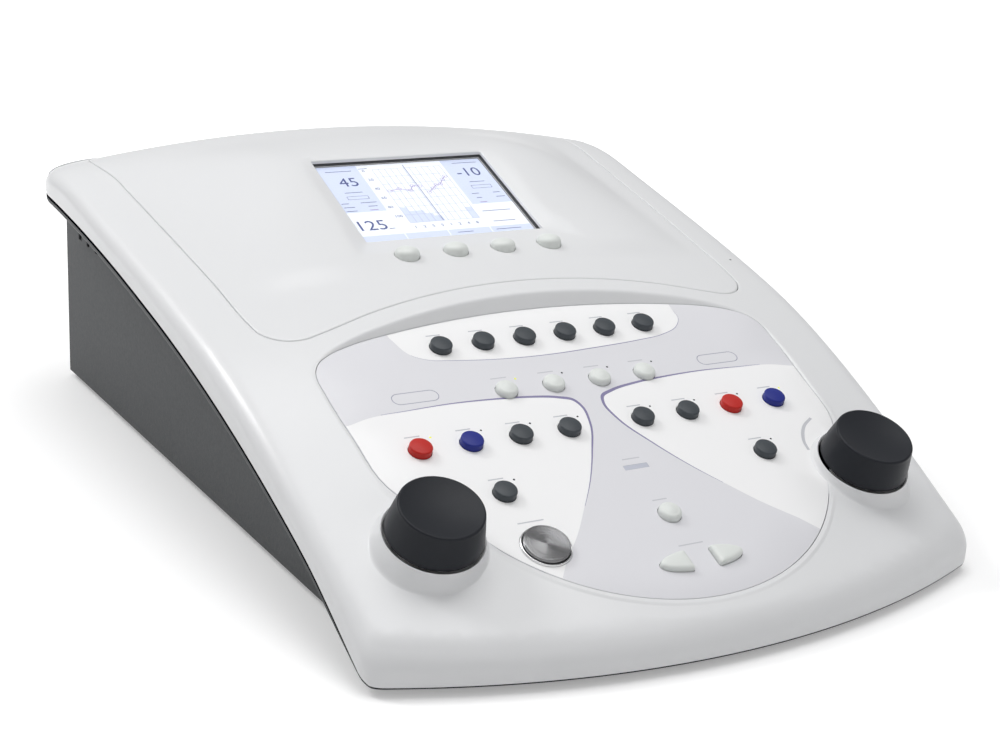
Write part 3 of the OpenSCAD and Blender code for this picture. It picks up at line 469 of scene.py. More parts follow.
class Shell:
    """Gathers grids and triangles and welds them into one mesh."""

    def __init__(self) -> None:
        """Start with nothing."""
        self.points: list[Array] = []
        self.faces: list[list[int]] = []
        self.inks: list[int] = []
        self.count = 0

    def _add(self, points: Array, faces: Array, ink: int | Array) -> None:
        """Append points and faces, with one ink for all or one for each."""
        self.points.append(points.reshape(-1, 3))
        self.faces += (faces + self.count).tolist()
        self.inks += np.broadcast_to(ink, len(faces)).tolist()
        self.count += points.size // 3

    def grid(self, rows: Array, wrap: bool = True, ink: int = 0) -> "Shell":
        """Four-sided faces between neighbouring rows of an m by n by 3 array."""
        m, n, _ = rows.shape
        k, i = np.meshgrid(np.arange(m - 1), np.arange(n if wrap else n - 1), indexing="ij")
        j = (i + 1) % n
        self._add(rows, np.stack([k * n + i, k * n + j, (k + 1) * n + j, (k + 1) * n + i], -1).reshape(-1, 4), ink)
        return self

    def cap(self, ring: Array, middle: Array, ink: int = 0) -> "Shell":
        """Fan from a ring of points to its middle."""
        return self.grid(np.stack([ring, np.broadcast_to(middle, ring.shape)]), True, ink)

    def triangles(self, points: Array, faces: Array, ink: int | Array = 0) -> "Shell":
        """Triangles as they are given."""
        self._add(points, faces, ink)
        return self

    def piece(self, name: str, body: str, paints: list[bpy.types.Material], sharp: float = 40.0,
              up: tuple[float, float, float] | None = None) -> bpy.types.Object:
        """Weld, turn the faces outwards and make the object.

        Args:
            name: piece name.
            body: body that it rides on.
            paints: materials, in ink order.
            sharp: angle in degrees above which an edge stays sharp.
            up: for an open sheet, the side that its faces look to.

        Returns:
            The object, in metres at the origin.
        """
        mesh = bpy.data.meshes.new(name)
        mesh.from_pydata((np.concatenate(self.points) * MM).tolist(), [], self.faces)
        mesh.polygons.foreach_set("material_index", np.array(self.inks, dtype=np.int32))
        bm = bmesh.new()
        bm.from_mesh(mesh)
        bmesh.ops.remove_doubles(bm, verts=bm.verts, dist=2e-5)
        bmesh.ops.dissolve_degenerate(bm, edges=bm.edges, dist=1e-6)
        bmesh.ops.recalc_face_normals(bm, faces=bm.faces)
        if up is not None:
            total = sum((f.normal * f.calc_area() for f in bm.faces), Vector())
            if total.dot(Vector(up)) < 0:
                bmesh.ops.reverse_faces(bm, faces=bm.faces)
        bm.to_mesh(mesh)
        bm.free()
        mesh.shade_smooth()
        mesh.set_sharp_from_angle(angle=math.radians(sharp))
        for paint in paints:
            mesh.materials.append(paint)
        obj = bpy.data.objects.new(name, mesh)
        bpy.context.scene.collection.objects.link(obj)
        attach(obj, body)
        LOG.info("%s: %d faces on %s", name, len(mesh.polygons), body)
        return obj


def turned(profile: Array, frame: Leaning, x: float, v: float, n: int = 72) -> Array:
    """Rows of a turned shape about an axis that stands on a leaning frame.

    Args:
        profile: radius and height of each row.
        frame: the frame that the axis stands on.
        x: place of the axis across.
        v: place of the axis up the slope.
        n: points round each row.

    Returns:
        Rows by n by 3 world points: (x + r cos a, v + r sin a, height).
    """
    a = np.linspace(0, 2 * np.pi, n, endpoint=False)
    r, h = profile[:, :1], profile[:, 1:2]
    return frame.place(x + r * np.cos(a), v + r * np.sin(a), h)


def rounded(r: float, h: float, edge: float, dome: float, low: float) -> Array:
    """Profile of a round key: a straight side, a round edge and a domed or dished face.

    The edge is a quarter circle and the face is h - dome t^2 with t from 1 to 0.
    """
    a = np.radians(np.linspace(0, 84, 9))
    t = np.linspace(1, 0, 9)
    side = np.array([[r, low], [r, (low + h - dome - edge) / 2], [r, h - dome - edge]])
    corner = np.column_stack([r - edge + edge * np.cos(a), h - dome - edge + edge * np.sin(a)])
    face = np.column_stack([(r - edge) * t, h - dome * t * t])
    return np.concatenate([side, corner[1:], face])


# ---- Finishes ----


def maths(tree: bpy.types.NodeTree, op: str, *values: float | bpy.types.NodeSocket) -> bpy.types.NodeSocket:
    """Result of a Math node whose inputs are numbers or the outputs of other nodes."""
    node = tree.nodes.new("ShaderNodeMath")
    node.operation = op
    for k, value in enumerate(values):
        if isinstance(value, (int, float)):
            node.inputs[k].default_value = value
        else:
            tree.links.new(value, node.inputs[k])
    return node.outputs[0]


class Sockets:
    """Shader node groups that more than one finish uses."""

    @staticmethod
    def _group(name: str, inputs: list[tuple[str, str, object]], outputs: list[tuple[str, str]]) -> tuple:
        """New group with its sockets.

        Returns:
            The group, its input node and its output node.
        """
        tree = bpy.data.node_groups.new(name, "ShaderNodeTree")
        for label, kind, value in inputs:
            socket = tree.interface.new_socket(label, in_out="INPUT", socket_type=kind)
            socket.default_value = value
        for label, kind in outputs:
            tree.interface.new_socket(label, in_out="OUTPUT", socket_type=kind)
        return tree, tree.nodes.new("NodeGroupInput"), tree.nodes.new("NodeGroupOutput")

    @classmethod
    def moulded(cls) -> bpy.types.NodeTree:
        """Moulded surface: cloudy colour, uneven gloss and a fine grain, all on Object coordinates."""
        found = bpy.data.node_groups.get("moulded_surface")
        if found:
            return found
        tree, inp, out = cls._group(
            "moulded_surface",
            [("Colour", "NodeSocketColor", (0.8, 0.8, 0.8, 1)), ("Second", "NodeSocketColor", (0.7, 0.7, 0.7, 1)),
             ("Cloud Size", "NodeSocketFloat", 18.0), ("Cloud", "NodeSocketFloat", 0.3),
             ("Roughness", "NodeSocketFloat", 0.4), ("Unevenness", "NodeSocketFloat", 0.08),
             ("Grain Size", "NodeSocketFloat", 1500.0)],
            [("Colour", "NodeSocketColor"), ("Roughness", "NodeSocketFloat"), ("Grain", "NodeSocketFloat")])
        link = tree.links.new
        where = tree.nodes.new("ShaderNodeTexCoord").outputs["Object"]

        def noise(scale: object, detail: float) -> bpy.types.NodeSocket:
            """Noise value on Object coordinates."""
            node = tree.nodes.new("ShaderNodeTexNoise")
            node.inputs["Detail"].default_value = detail
            link(where, node.inputs["Vector"])
            link(scale, node.inputs["Scale"])
            return node.outputs["Fac"]

        cloud = noise(inp.outputs["Cloud Size"], 3)
        grain = noise(inp.outputs["Grain Size"], 2)
        mix = tree.nodes.new("ShaderNodeMix")
        mix.data_type = "RGBA"
        link(maths(tree, "MULTIPLY", cloud, inp.outputs["Cloud"]), mix.inputs["Factor"])
        link(inp.outputs["Colour"], mix.inputs["A"])
        link(inp.outputs["Second"], mix.inputs["B"])
        link(mix.outputs["Result"], out.inputs["Colour"])
        both = maths(tree, "SUBTRACT", maths(tree, "ADD", cloud, grain), 1.0)
        swing = maths(tree, "MULTIPLY", both, inp.outputs["Unevenness"])
        link(maths(tree, "ADD", swing, inp.outputs["Roughness"]), out.inputs["Roughness"])
        link(grain, out.inputs["Grain"])
        return tree

    @classmethod
    def lathe(cls) -> bpy.types.NodeTree:
        """Turned metal: the normal leans to and fro along the radius in fine rings about an axis."""
        found = bpy.data.node_groups.get("turned_metal")
        if found:
            return found
        tree, inp, out = cls._group(
            "turned_metal",
            [("Centre", "NodeSocketVector", (0, 0, 0)), ("Axis", "NodeSocketVector", (0, 0, 1)),
             ("Rings", "NodeSocketFloat", 9000.0), ("Depth", "NodeSocketFloat", 0.5)],
            [("Normal", "NodeSocketVector"), ("Ring", "NodeSocketFloat")])
        link = tree.links.new

        def vector(op: str, *values: object) -> bpy.types.Node:
            """Vector Math node with its inputs linked."""
            node = tree.nodes.new("ShaderNodeVectorMath")
            node.operation = op
            for k, value in enumerate(values):
                link(value, node.inputs[k])
            return node

        where = tree.nodes.new("ShaderNodeTexCoord").outputs["Object"]
        normal = tree.nodes.new("ShaderNodeNewGeometry").outputs["Normal"]
        spoke = vector("SUBTRACT", where, inp.outputs["Centre"]).outputs[0]
        along = vector("PROJECT", spoke, inp.outputs["Axis"]).outputs[0]
        flat = vector("SUBTRACT", spoke, along).outputs[0]
        radius = vector("LENGTH", flat).outputs["Value"]
        noise = tree.nodes.new("ShaderNodeTexNoise")
        noise.noise_dimensions = "1D"
        noise.inputs["Scale"].default_value = 1.0
        noise.inputs["Detail"].default_value = 3.0
        link(maths(tree, "MULTIPLY", radius, inp.outputs["Rings"]), noise.inputs["W"])
        centred = maths(tree, "SUBTRACT", noise.outputs["Fac"], 0.5)
        push = vector("SCALE", vector("NORMALIZE", flat).outputs[0])
        link(maths(tree, "MULTIPLY", centred, inp.outputs["Depth"]), push.inputs["Scale"])
        total = vector("ADD", normal, push.outputs[0]).outputs[0]
        link(vector("NORMALIZE", total).outputs[0], out.inputs["Normal"])
        link(noise.outputs["Fac"], out.inputs["Ring"])
        return tree


@dataclass(frozen=True)
class Finish:
    """A moulded, painted, printed or plated finish."""

    name: str
    colour: tuple[float, float, float]
    second: tuple[float, float, float]
    cloud: float = 0.3
    cloud_size: float = 18.0
    roughness: float = 0.4
    unevenness: float = 0.08
    grain_size: float = 1500.0
    grain_depth: float = 0.02
    metallic: float = 0.0
    specular: float = 0.5
    coat: float = 0.0
    alpha: float = 1.0
    glow: float = 0.0

    def material(self) -> bpy.types.Material:
        """The material, made once."""
        found = bpy.data.materials.get(self.name)
        if found:
            return found
        mat = bpy.data.materials.new(self.name)
        mat.use_nodes = True
        tree = mat.node_tree
        bsdf = tree.nodes["Principled BSDF"]
        group = tree.nodes.new("ShaderNodeGroup")
        group.node_tree = Sockets.moulded()
        for label, value in (("Colour", (*self.colour, 1)), ("Second", (*self.second, 1)),
                             ("Cloud", self.cloud), ("Cloud Size", self.cloud_size),
                             ("Roughness", self.roughness), ("Unevenness", self.unevenness),
                             ("Grain Size", self.grain_size)):
            group.inputs[label].default_value = value
        tree.links.new(group.outputs["Colour"], bsdf.inputs["Base Color"])
        tree.links.new(group.outputs["Roughness"], bsdf.inputs["Roughness"])
        if self.glow:
            tree.links.new(group.outputs["Colour"], bsdf.inputs["Emission Color"])
            bsdf.inputs["Emission Strength"].default_value = self.glow
        if self.grain_depth:
            bump = tree.nodes.new("ShaderNodeBump")
            bump.inputs["Strength"].default_value = 1.0
            bump.inputs["Distance"].default_value = self.grain_depth * MM
            tree.links.new(group.outputs["Grain"], bump.inputs["Height"])
            tree.links.new(bump.outputs["Normal"], bsdf.inputs["Normal"])
        bsdf.inputs["Metallic"].default_value = self.metallic
        bsdf.inputs["Specular IOR Level"].default_value = self.specular
        bsdf.inputs["Coat Weight"].default_value = self.coat
        bsdf.inputs["Coat Roughness"].default_value = 0.15
        bsdf.inputs["Alpha"].default_value = self.alpha
        return mat


@dataclass(frozen=True)
class TurnedSteel:
    """Steel with fine turned rings about one key's axis."""

    name: str
    centre: tuple[float, float, float]
    axis: tuple[float, float, float]

    def material(self) -> bpy.types.Material:
        """The material, with the rings about the axis."""
        mat = bpy.data.materials.new(self.name)
        mat.use_nodes = True
        tree = mat.node_tree
        bsdf = tree.nodes["Principled BSDF"]
        rings = tree.nodes.new("ShaderNodeGroup")
        rings.node_tree = Sockets.lathe()
        rings.inputs["Centre"].default_value = self.centre
        rings.inputs["Axis"].default_value = self.axis
        rings.inputs["Depth"].default_value = 2.4
        ramp = tree.nodes.new("ShaderNodeValToRGB")
        ramp.color_ramp.elements[0].position, ramp.color_ramp.elements[0].color = 0.3, (0.10, 0.10, 0.105, 1)
        ramp.color_ramp.elements[1].position, ramp.color_ramp.elements[1].color = 0.7, (0.40, 0.40, 0.405, 1)
        tree.links.new(rings.outputs["Ring"], ramp.inputs["Fac"])
        tree.links.new(ramp.outputs["Color"], bsdf.inputs["Base Color"])
        tree.links.new(rings.outputs["Normal"], bsdf.inputs["Normal"])
        bsdf.inputs["Metallic"].default_value = 1.0
        bsdf.inputs["Roughness"].default_value = 0.16
        return mat


class Look(Enum):
    """Every plain finish of the object."""

    COVER = Finish("pearl_cover", (0.765, 0.772, 0.780), (0.735, 0.742, 0.752), roughness=0.36, coat=0.15,
                   grain_size=2200.0, grain_depth=0.012)
    BASE = Finish("textured_base", (0.072, 0.076, 0.079), (0.048, 0.052, 0.055), cloud=0.9, cloud_size=420.0,
                  roughness=0.62, grain_size=900.0, grain_depth=0.12)
    # Near-black, no gloss: painted shadow for the gap under the cover's lip.
    SEAM = Finish("painted_gap_shadow", (0.003, 0.003, 0.005), (0.002, 0.002, 0.003), roughness=0.9, specular=0.0)
    # Lighter copy of the base colour: painted highlight where the band's lower edge catches light.
    BASE_EDGE = Finish("painted_edge_highlight", (0.150, 0.154, 0.158), (0.120, 0.124, 0.128), roughness=0.45, cloud_size=420.0)
    PANEL = Finish("panel_film", (0.738, 0.738, 0.768), (0.712, 0.712, 0.745), roughness=0.38, grain_size=2600.0,
                   grain_depth=0.008)
    FIELD = Finish("white_field", (0.915, 0.915, 0.917), (0.885, 0.885, 0.890), roughness=0.36, grain_size=2600.0,
                   grain_depth=0.008)
    LINE = Finish("violet_line", (0.225, 0.205, 0.365), (0.205, 0.185, 0.340), roughness=0.4)
    PRINT = Finish("grey_print", (0.330, 0.330, 0.420), (0.300, 0.300, 0.390), roughness=0.4)
    FAINT = Finish("faint_print", (0.560, 0.565, 0.600), (0.530, 0.535, 0.570), roughness=0.4)
    # Brighter white: painted highlight for the raised rim of each key hole catching light.
    RING = Finish("painted_rim_highlight", (0.970, 0.970, 0.970), (0.950, 0.950, 0.950), roughness=0.36, grain_depth=0.0)
    DARK_KEY = Finish("dark_key", (0.046, 0.055, 0.064), (0.036, 0.043, 0.050), roughness=0.42,
                      grain_size=1800.0, grain_depth=0.02, specular=0.4)
    PALE_KEY = Finish("pale_key", (0.745, 0.772, 0.745), (0.715, 0.745, 0.720), roughness=0.4, grain_depth=0.01)
    RED_KEY = Finish("red_key", (0.520, 0.017, 0.011), (0.450, 0.013, 0.009), roughness=0.42, grain_depth=0.015,
                     specular=0.3)
    BLUE_KEY = Finish("blue_key", (0.012, 0.022, 0.235), (0.009, 0.017, 0.195), roughness=0.42, grain_depth=0.015,
                      specular=0.3)
    DIAL = Finish("soft_dial", (0.016, 0.018, 0.023), (0.011, 0.013, 0.017), roughness=0.42, unevenness=0.12,
                  grain_size=1900.0, grain_depth=0.05, specular=0.2)
    CHROME = Finish("plated_ring", (0.800, 0.800, 0.805), (0.740, 0.740, 0.750), roughness=0.12, unevenness=0.04,
                    metallic=1.0, grain_depth=0.0)
    STEEL = Finish("plain_steel", (0.520, 0.520, 0.530), (0.440, 0.440, 0.450), roughness=0.34, metallic=1.0,
                   cloud_size=60.0)
    BLACK = Finish("black_moulding", (0.016, 0.017, 0.020), (0.012, 0.013, 0.015), roughness=0.45)
    RUBBER = Finish("foot_rubber", (0.022, 0.022, 0.022), (0.030, 0.030, 0.030), roughness=0.85, grain_depth=0.06)
    BOARD = Finish("circuit_board", (0.020, 0.130, 0.050), (0.012, 0.080, 0.030), cloud=0.8, cloud_size=90.0,
                   roughness=0.35)
    RIBBON = Finish("ribbon_cable", (0.500, 0.500, 0.480), (0.400, 0.400, 0.390), cloud_size=200.0, roughness=0.4)
    LENS = Finish("pale_lens", (0.540, 0.560, 0.640), (0.500, 0.520, 0.600), roughness=0.25, coat=0.4)
    LIGHT_OFF = Finish("light_dark", (0.030, 0.032, 0.040), (0.020, 0.022, 0.030), roughness=0.2, coat=0.5)
    LIGHT_ON = Finish("light_lit", (0.620, 0.660, 0.050), (0.560, 0.600, 0.040), roughness=0.2, glow=0.7)
    SCREEN = Finish("screen_ground", (0.700, 0.730, 0.800), (0.690, 0.720, 0.790), roughness=0.2, glow=0.55,
                    grain_depth=0.0)
    SCREEN_BLUE = Finish("screen_panel", (0.500, 0.550, 0.700), (0.490, 0.540, 0.690), roughness=0.2, glow=0.55,
                         grain_depth=0.0)
    SCREEN_GRID = Finish("screen_grid", (0.330, 0.360, 0.480), (0.320, 0.350, 0.470), roughness=0.2, glow=0.55,
                         grain_depth=0.0)
    SCREEN_INK = Finish("screen_ink", (0.026, 0.045, 0.190), (0.022, 0.040, 0.180), roughness=0.2, glow=0.4,
                        grain_depth=0.0)
    SCREEN_RED = Finish("screen_red", (0.260, 0.190, 0.420), (0.250, 0.180, 0.410), roughness=0.2, glow=0.4,
                        grain_depth=0.0)
    PANE = Finish("clear_pane", (0.900, 0.930, 0.980), (0.900, 0.930, 0.980), roughness=0.04, unevenness=0.0,
                  grain_depth=0.0, alpha=0.05)

    @property
    def paint(self) -> bpy.types.Material:
        """This finish as a material."""
        return self.value.material()


# ---- Sub-assemblies ----


@dataclass(frozen=True)
class Cover:
    """Moulded top cover with the keypad's pocket, the hood's opening and the dial collars."""

    form: Form
    pocket_reach: float = 12.0
    groove: float = 0.3
    collar_h: float = 3.8
    collar_slope: float = 2.34
    step: float = 5.0

    def build(self) -> None:
        """Make the cover as one piece and the pinhole beside the hood."""
        form, shell = self.form, Shell()
        angles = np.radians([0, 6, 12, 19, 27, 36, 46, 56, 66])
        rings = [form.shoulder_ring(float(a)) for a in angles]
        edge, rim = rings[0], form.lip(rings[0][:, 1])
        low = [np.column_stack([form.plan(d), form.lip(form.plan(d)[:, 1]) + h])
               for d, h in ((1.7, 9.0), (1.7, 0.0), (0.7, 0.0), (0.2, 0.25), (0.0, 0.9))]
        mid = [np.column_stack([edge[:, :2], np.maximum(rim + 0.9 + (edge[:, 2] - rim - 0.9) * f, rim + 0.9)])
               for f in (0.25, 0.5, 0.75)]
        border = rings[-1]
        border[:, 2] = self.height(border[:, :2])
        shell.grid(np.stack(low + mid + rings))

        pocket = self._pocket()
        shell.grid(pocket)
        groove = self._groove()
        shell.grid(groove)

        outer, pad, hood = border[:, :2], pocket[-1][:, :2], groove[0][:, :2]
        keep = between(outer, [pad, hood])
        spots = lattice((-205, -272), (205, 272), self.step)
        spots = spots[keep(spots)]
        for loop in (outer, pad, hood):
            spots = spots[distance(spots, loop) > self.step * 0.45]
        flat, faces = fill([outer, pad, hood], spots, keep)
        shell.triangles(np.column_stack([flat, self.height(flat)]), faces)
        for side in (-1, 1):
            shell.grid(self._collar(side))
        piece = shell.piece("cover_shell", "case", [Look.COVER.paint], 38, (0, 0, 1))
        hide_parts("top_cover")
        self._pinhole()

    def height(self, flat: Array) -> Array:
        """Cover's height at plan points: the skin less the shoulder's fall by distance from the edge."""
        form = self.form
        away = distance(flat, form.plan(0.0))
        edge = np.clip((form.shoulder - away) / form.shoulder, 0, 1)
        return form.skin(flat[:, 0], flat[:, 1]) - form.drop(flat[:, 1]) * (1 - np.sqrt(1 - edge * edge))

    def level(self, x: Array, v: Array) -> Array:
        """Height of the cover over the keypad plane."""
        return PAD.level(x, v, lambda a, b: self.height(np.column_stack([a.ravel(), b.ravel()])).reshape(a.shape))

    def surface(self, x: Array, v: Array, outline: Array) -> Array:
        """Height over the keypad plane of cover and pocket: the lower of skin and leaning wall."""
        flat = np.column_stack([x.ravel(), v.ravel()])
        away = np.where(inside(flat, outline), 0, distance(flat, outline)).reshape(x.shape)
        skin = self.level(x, v)
        return soft_min(skin, np.maximum(away - self.groove, 0) * self.form.pocket_slope, 1.4)

    def _pocket(self) -> Array:
        """Rows round the keypad: the wall of its recess, then the lower of leaning wall and skin."""
        base = self.form.pad_outline()
        rows = [PAD.place(*grow(base, self.groove).T, -2.0), PAD.place(*grow(base, self.groove).T, -0.15)]
        for g in (0.35, 0.6, 1.0, 1.5, 2.1, 2.8, 3.6, 4.5, 5.5, 6.6, 7.8, 9.2, 10.6, self.pocket_reach):
            x, v = grow(base, g).T
            wall = (g - self.groove) * self.form.pocket_slope
            n = soft_min(self.level(x, v), np.full_like(x, wall), 1.4)
            rows.append(PAD.place(x, v, np.maximum(n, -0.1) if g < 3 else n))
        last = rows[-1]
        last[:, 2] = self.height(last[:, :2])
        return np.stack(rows)

    def _groove(self) -> Array:
        """Rows round the hood's opening: a small round edge, then a wall down."""
        base = self.form.hood_outline()
        steps = ((1.7, 0), (1.2, 0.03), (0.85, 0.14), (0.62, 0.35), (0.5, 0.7), (0.5, 3.2))
        return lowered([(grow(base, g), down) for g, down in steps], self.height)

    def _collar(self, side: int) -> Array:
        """Rows of a dial's collar: an inner wall, a level top, a cone that flows into the cover.

        The outer rows of the cone sink a little, so that they end under the cover.
        """
        outline = self.form.pad_outline()
        a = np.linspace(0, 2 * np.pi, 120, endpoint=False)
        wall = np.array([[24.9, -2.0], [24.9, 3.5], [25.2, self.collar_h]])
        rows = [turned(wall, PAD, side * DIAL_X, DIAL_V, 120)]
        for r in (25.6, 25.9, 26.2, 26.6, 27.1, 27.6, 28.2, 28.8, 29.5, 30.2, 31.0, 32.0, 33.2, 34.5):
            x, v = side * DIAL_X + r * np.cos(a), DIAL_V + r * np.sin(a)
            cone = np.full_like(x, self.collar_h - 0.25 - (r - 25.75) * self.collar_slope)
            if r < 25.8:
                cone += 0.2
            base = self.surface(x, v, outline)
            sink = 0.012 * max(r - 29.0, 0) ** 2
            rows.append(PAD.place(x, v, soft_max(base - 0.02, cone, 1.8 if r > 26.3 else 0.1) - sink)[None])
        return np.concatenate(rows)

    def _pinhole(self) -> None:
        """Small hole beside the hood: a shallow cup painted black as the shade inside the hole."""
        x, y, r = 172.8, -4.0, 0.75
        z = float(self.form.skin(np.array(x), np.array(y)))
        frame = Leaning(y, z + 0.06, 13.0)
        rows = turned(np.array([[r, -0.1], [r, 0.0], [r * 0.7, 0.02], [0.0, -0.02]]), frame, x, 0.0, 20)
        piece = Shell().grid(rows).piece("pinhole_painted_shade", "case", [Look.BLACK.paint])


@dataclass(frozen=True)
class Hood:
    """Raised hood with the recess of the display and of the soft keys."""

    form: Form
    window_half: float = 59.2
    window_low: float = -46.8
    window_high: float = 42.8
    key_hole: float = 7.5
    coarse: float = 5.5
    fine: float = 2.6

    def window(self) -> Array:
        """Window opening in plan, counter-clockwise, with small round corners."""
        r, x, lo, hi = 0.9, self.window_half, self.window_low, self.window_high
        loop = np.concatenate([arc((x - r, lo + r), r, -90, 0, 4), arc((x - r, hi - r), r, 0, 90, 4),
                               arc((r - x, hi - r), r, 90, 180, 4), arc((r - x, lo + r), r, 180, 270, 4)])
        ring = LCD.place(loop[:, 0], loop[:, 1], self.form.sunk)
        sides = [ring[k] + (ring[(k + 1) % len(ring)] - ring[k]) * t
                 for k in range(len(ring))
                 for t in np.linspace(0, 1, max(int(np.linalg.norm(ring[(k + 1) % len(ring)] - ring[k]) / 2.5), 1),
                                      endpoint=False)]
        return np.array(sides)[:, :2]

    def height(self, flat: Array) -> Array:
        """Hood's height at plan points."""
        return self.form.hood(flat[:, 0], flat[:, 1])

    def build(self) -> None:
        """Make the hood as one piece."""
        shell, base, window = Shell(), self.form.hood_outline(), self.window()
        steps = ((-1.3, 0), (-0.8, 0.03), (-0.4, 0.14), (-0.15, 0.35), (0.0, 0.7), (0.0, 2.4), (-2.4, 2.4))
        rows = lowered([(grow(base, g), down) for g, down in steps], self.height)
        shell.grid(rows)
        outer = rows[0][:, :2]
        steps = ((0.7, 0.0), (0.35, 0.08), (0.1, 0.3), (0.0, 0.6), (0.0, 2.0))
        rows = lowered([(grow(window, g), down) for g, down in steps], self.height)
        shell.grid(rows)
        holes = [rows[0][:, :2]]
        steps = ((0.5, 0.0), (0.2, 0.08), (0.0, 0.35), (0.0, 2.2))
        for x in SOFT_KEY_X:
            circles = [(arc((x, SILL.y), self.key_hole + g, 0, 352.5, 47), down) for g, down in steps]
            rows = lowered(circles, self.height)
            shell.grid(rows)
            holes.append(rows[0][:, :2])

        keep = between(outer, holes)
        low, high = (-112, -34), (112, 142)
        far, near = lattice((-175, -60), (175, 262), self.coarse), lattice(low, high, self.fine)
        spots = np.concatenate([far[~((far > low) & (far < high)).all(1)], near])
        spots = spots[keep(spots)]
        spots = spots[distance(spots, outer) > 2.2]
        for hole in holes:
            spots = spots[distance(spots, hole) > 1.2]
        flat, faces = fill([outer, *holes], spots, keep)
        shell.triangles(np.column_stack([flat, self.height(flat)]), faces)
        piece = shell.piece("hood_shell", "case", [Look.COVER.paint], 45, (0, 0, 1))
        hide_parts("display_hood")


@dataclass(frozen=True)
class Housing:
    """Dark housing under the cover, reshaped where it meets the cover's lip."""

    form: Form
    flange_inset: float = 10.0
    flange_tall: float = 9.0
    squeeze: float = 0.3
    front_lift: float = 4.6
    front_share: float = 0.16
    share_start: float = -240.0
    share_run: float = 60.0
    wall_half: float = 159.5
    wall_front: float = -247.5
    wall_slope: float = 0.0349
    vent_depth: float = 3.4
    vent_start: float = 106.0
    vent_end: float = 228.0

    def build(self, node: bpy.types.Object) -> None:
        """Make the housing, a black strip under the cover's lip painted as the gap's shadow, the band under it and
        black sheets behind the vents painted as shade.
        """
        self._shell(node)
        self._seam_and_band()
        self._screens()

    def _shell(self, node: bpy.types.Object) -> None:
        """Make the housing itself.

        The frame's housing is copied, and the points of its flange, which are
        those outside the cover's outline drawn in by flange_inset, follow the
        cover's lip.

        Args:
            node: the frame's housing.
        """
        mesh = node.data.copy()
        mesh.transform(node.matrix_world)
        co = np.empty(len(mesh.vertices) * 3)
        mesh.vertices.foreach_get("co", co)
        co = co.reshape(-1, 3) / MM
        rim = self.form.rim(co[:, 1])
        flange = ~inside(co[:, :2], self.form.plan(self.flange_inset)) & (co[:, 2] > rim - self.flange_tall)
        front = self.front_lift * self.form.nose(co[:, 1])
        lifted = np.maximum(self.form.lip(co[:, 1]) - rim, 0) + (rim - co[:, 2]) * self.squeeze + front
        co[:, 2] += np.where(flange, lifted, 0)
        mesh.vertices.foreach_set("co", (co * MM).ravel())
        mesh.materials.clear()
        mesh.materials.append(Look.BASE.paint)
        mesh.shade_smooth()
        mesh.set_sharp_from_angle(angle=math.radians(32))
        obj = bpy.data.objects.new("housing_shell", mesh)
        bpy.context.scene.collection.objects.link(obj)
        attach(obj, "case")
        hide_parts("base_housing")

    def _rows(self, *steps: tuple[float, float]) -> Array:
        """Rows under the cover's lip: each is drawn in by d and stands h over the lip, less at the front."""
        rows = []
        for d, h in steps:
            p = self.form.plan(d)
            eased = smooth((p[:, 1] - self.share_start) / self.share_run)
            share = self.front_share + (1 - self.front_share) * eased
            rows.append(np.column_stack([p, self.form.lip(p[:, 1]) + h * share]))
        return np.stack(rows)

    def _seam_and_band(self) -> None:
        """Make a black strip under the cover's lip, painted shadow for the gap there, and under that a dark band whose
        lower edge is a lighter grey, a painted highlight.
        """
        # Black strip just under the lip: painted shadow of the gap between cover and housing.
        gap_shadow = self._rows((1.4, 0.6), (0.55, 0.05), (0.5, -0.2), (0.5, -2.0))
        piece = Shell().grid(gap_shadow).piece("painted_seam_shadow", "case", [Look.SEAM.paint], 30)
        wall = self._rows((0.5, -2.0), (0.5, -3.9))
        # Lower edge in the lighter grey: painted highlight of the rounded edge catching light.
        edge = self._rows((0.5, -3.9), (0.7, -4.4), (1.2, -4.7), (4.0, -4.8))
        band = Shell().grid(wall).grid(edge, ink=1)
        piece = band.piece("housing_band", "case", [Look.BASE.paint, Look.BASE_EDGE.paint], 60)

    def _screens(self) -> None:
        """Make black sheets behind the side vents, a little inside the housing's leaning walls: painted shade for the
        dark inside seen through the vents.
        """
        y = np.linspace(self.vent_start, self.vent_end, 13)
        for side in (-1, 1):
            x = side * (self.wall_half + (y - self.wall_front) * self.wall_slope - self.vent_depth)
            rows = np.stack([np.column_stack([x, y, self.form.rim(y) - h]) for h in (30, 12)])
            # Black sheet: painted shade behind the vents.
            shell = Shell().grid(rows, False)
            piece = shell.piece("vent_painted_shade_" + hand(side), "case", [Look.BLACK.paint], 30, (side, 0, 0))


class Ink(Enum):
    """Inks of the keypad's film, in material order."""

    PANEL = 0
    FIELD = 1
    LINE = 2
    PRINT = 3
    FAINT = 4
    # Painted highlight of the key holes' rims.
    RING = 5


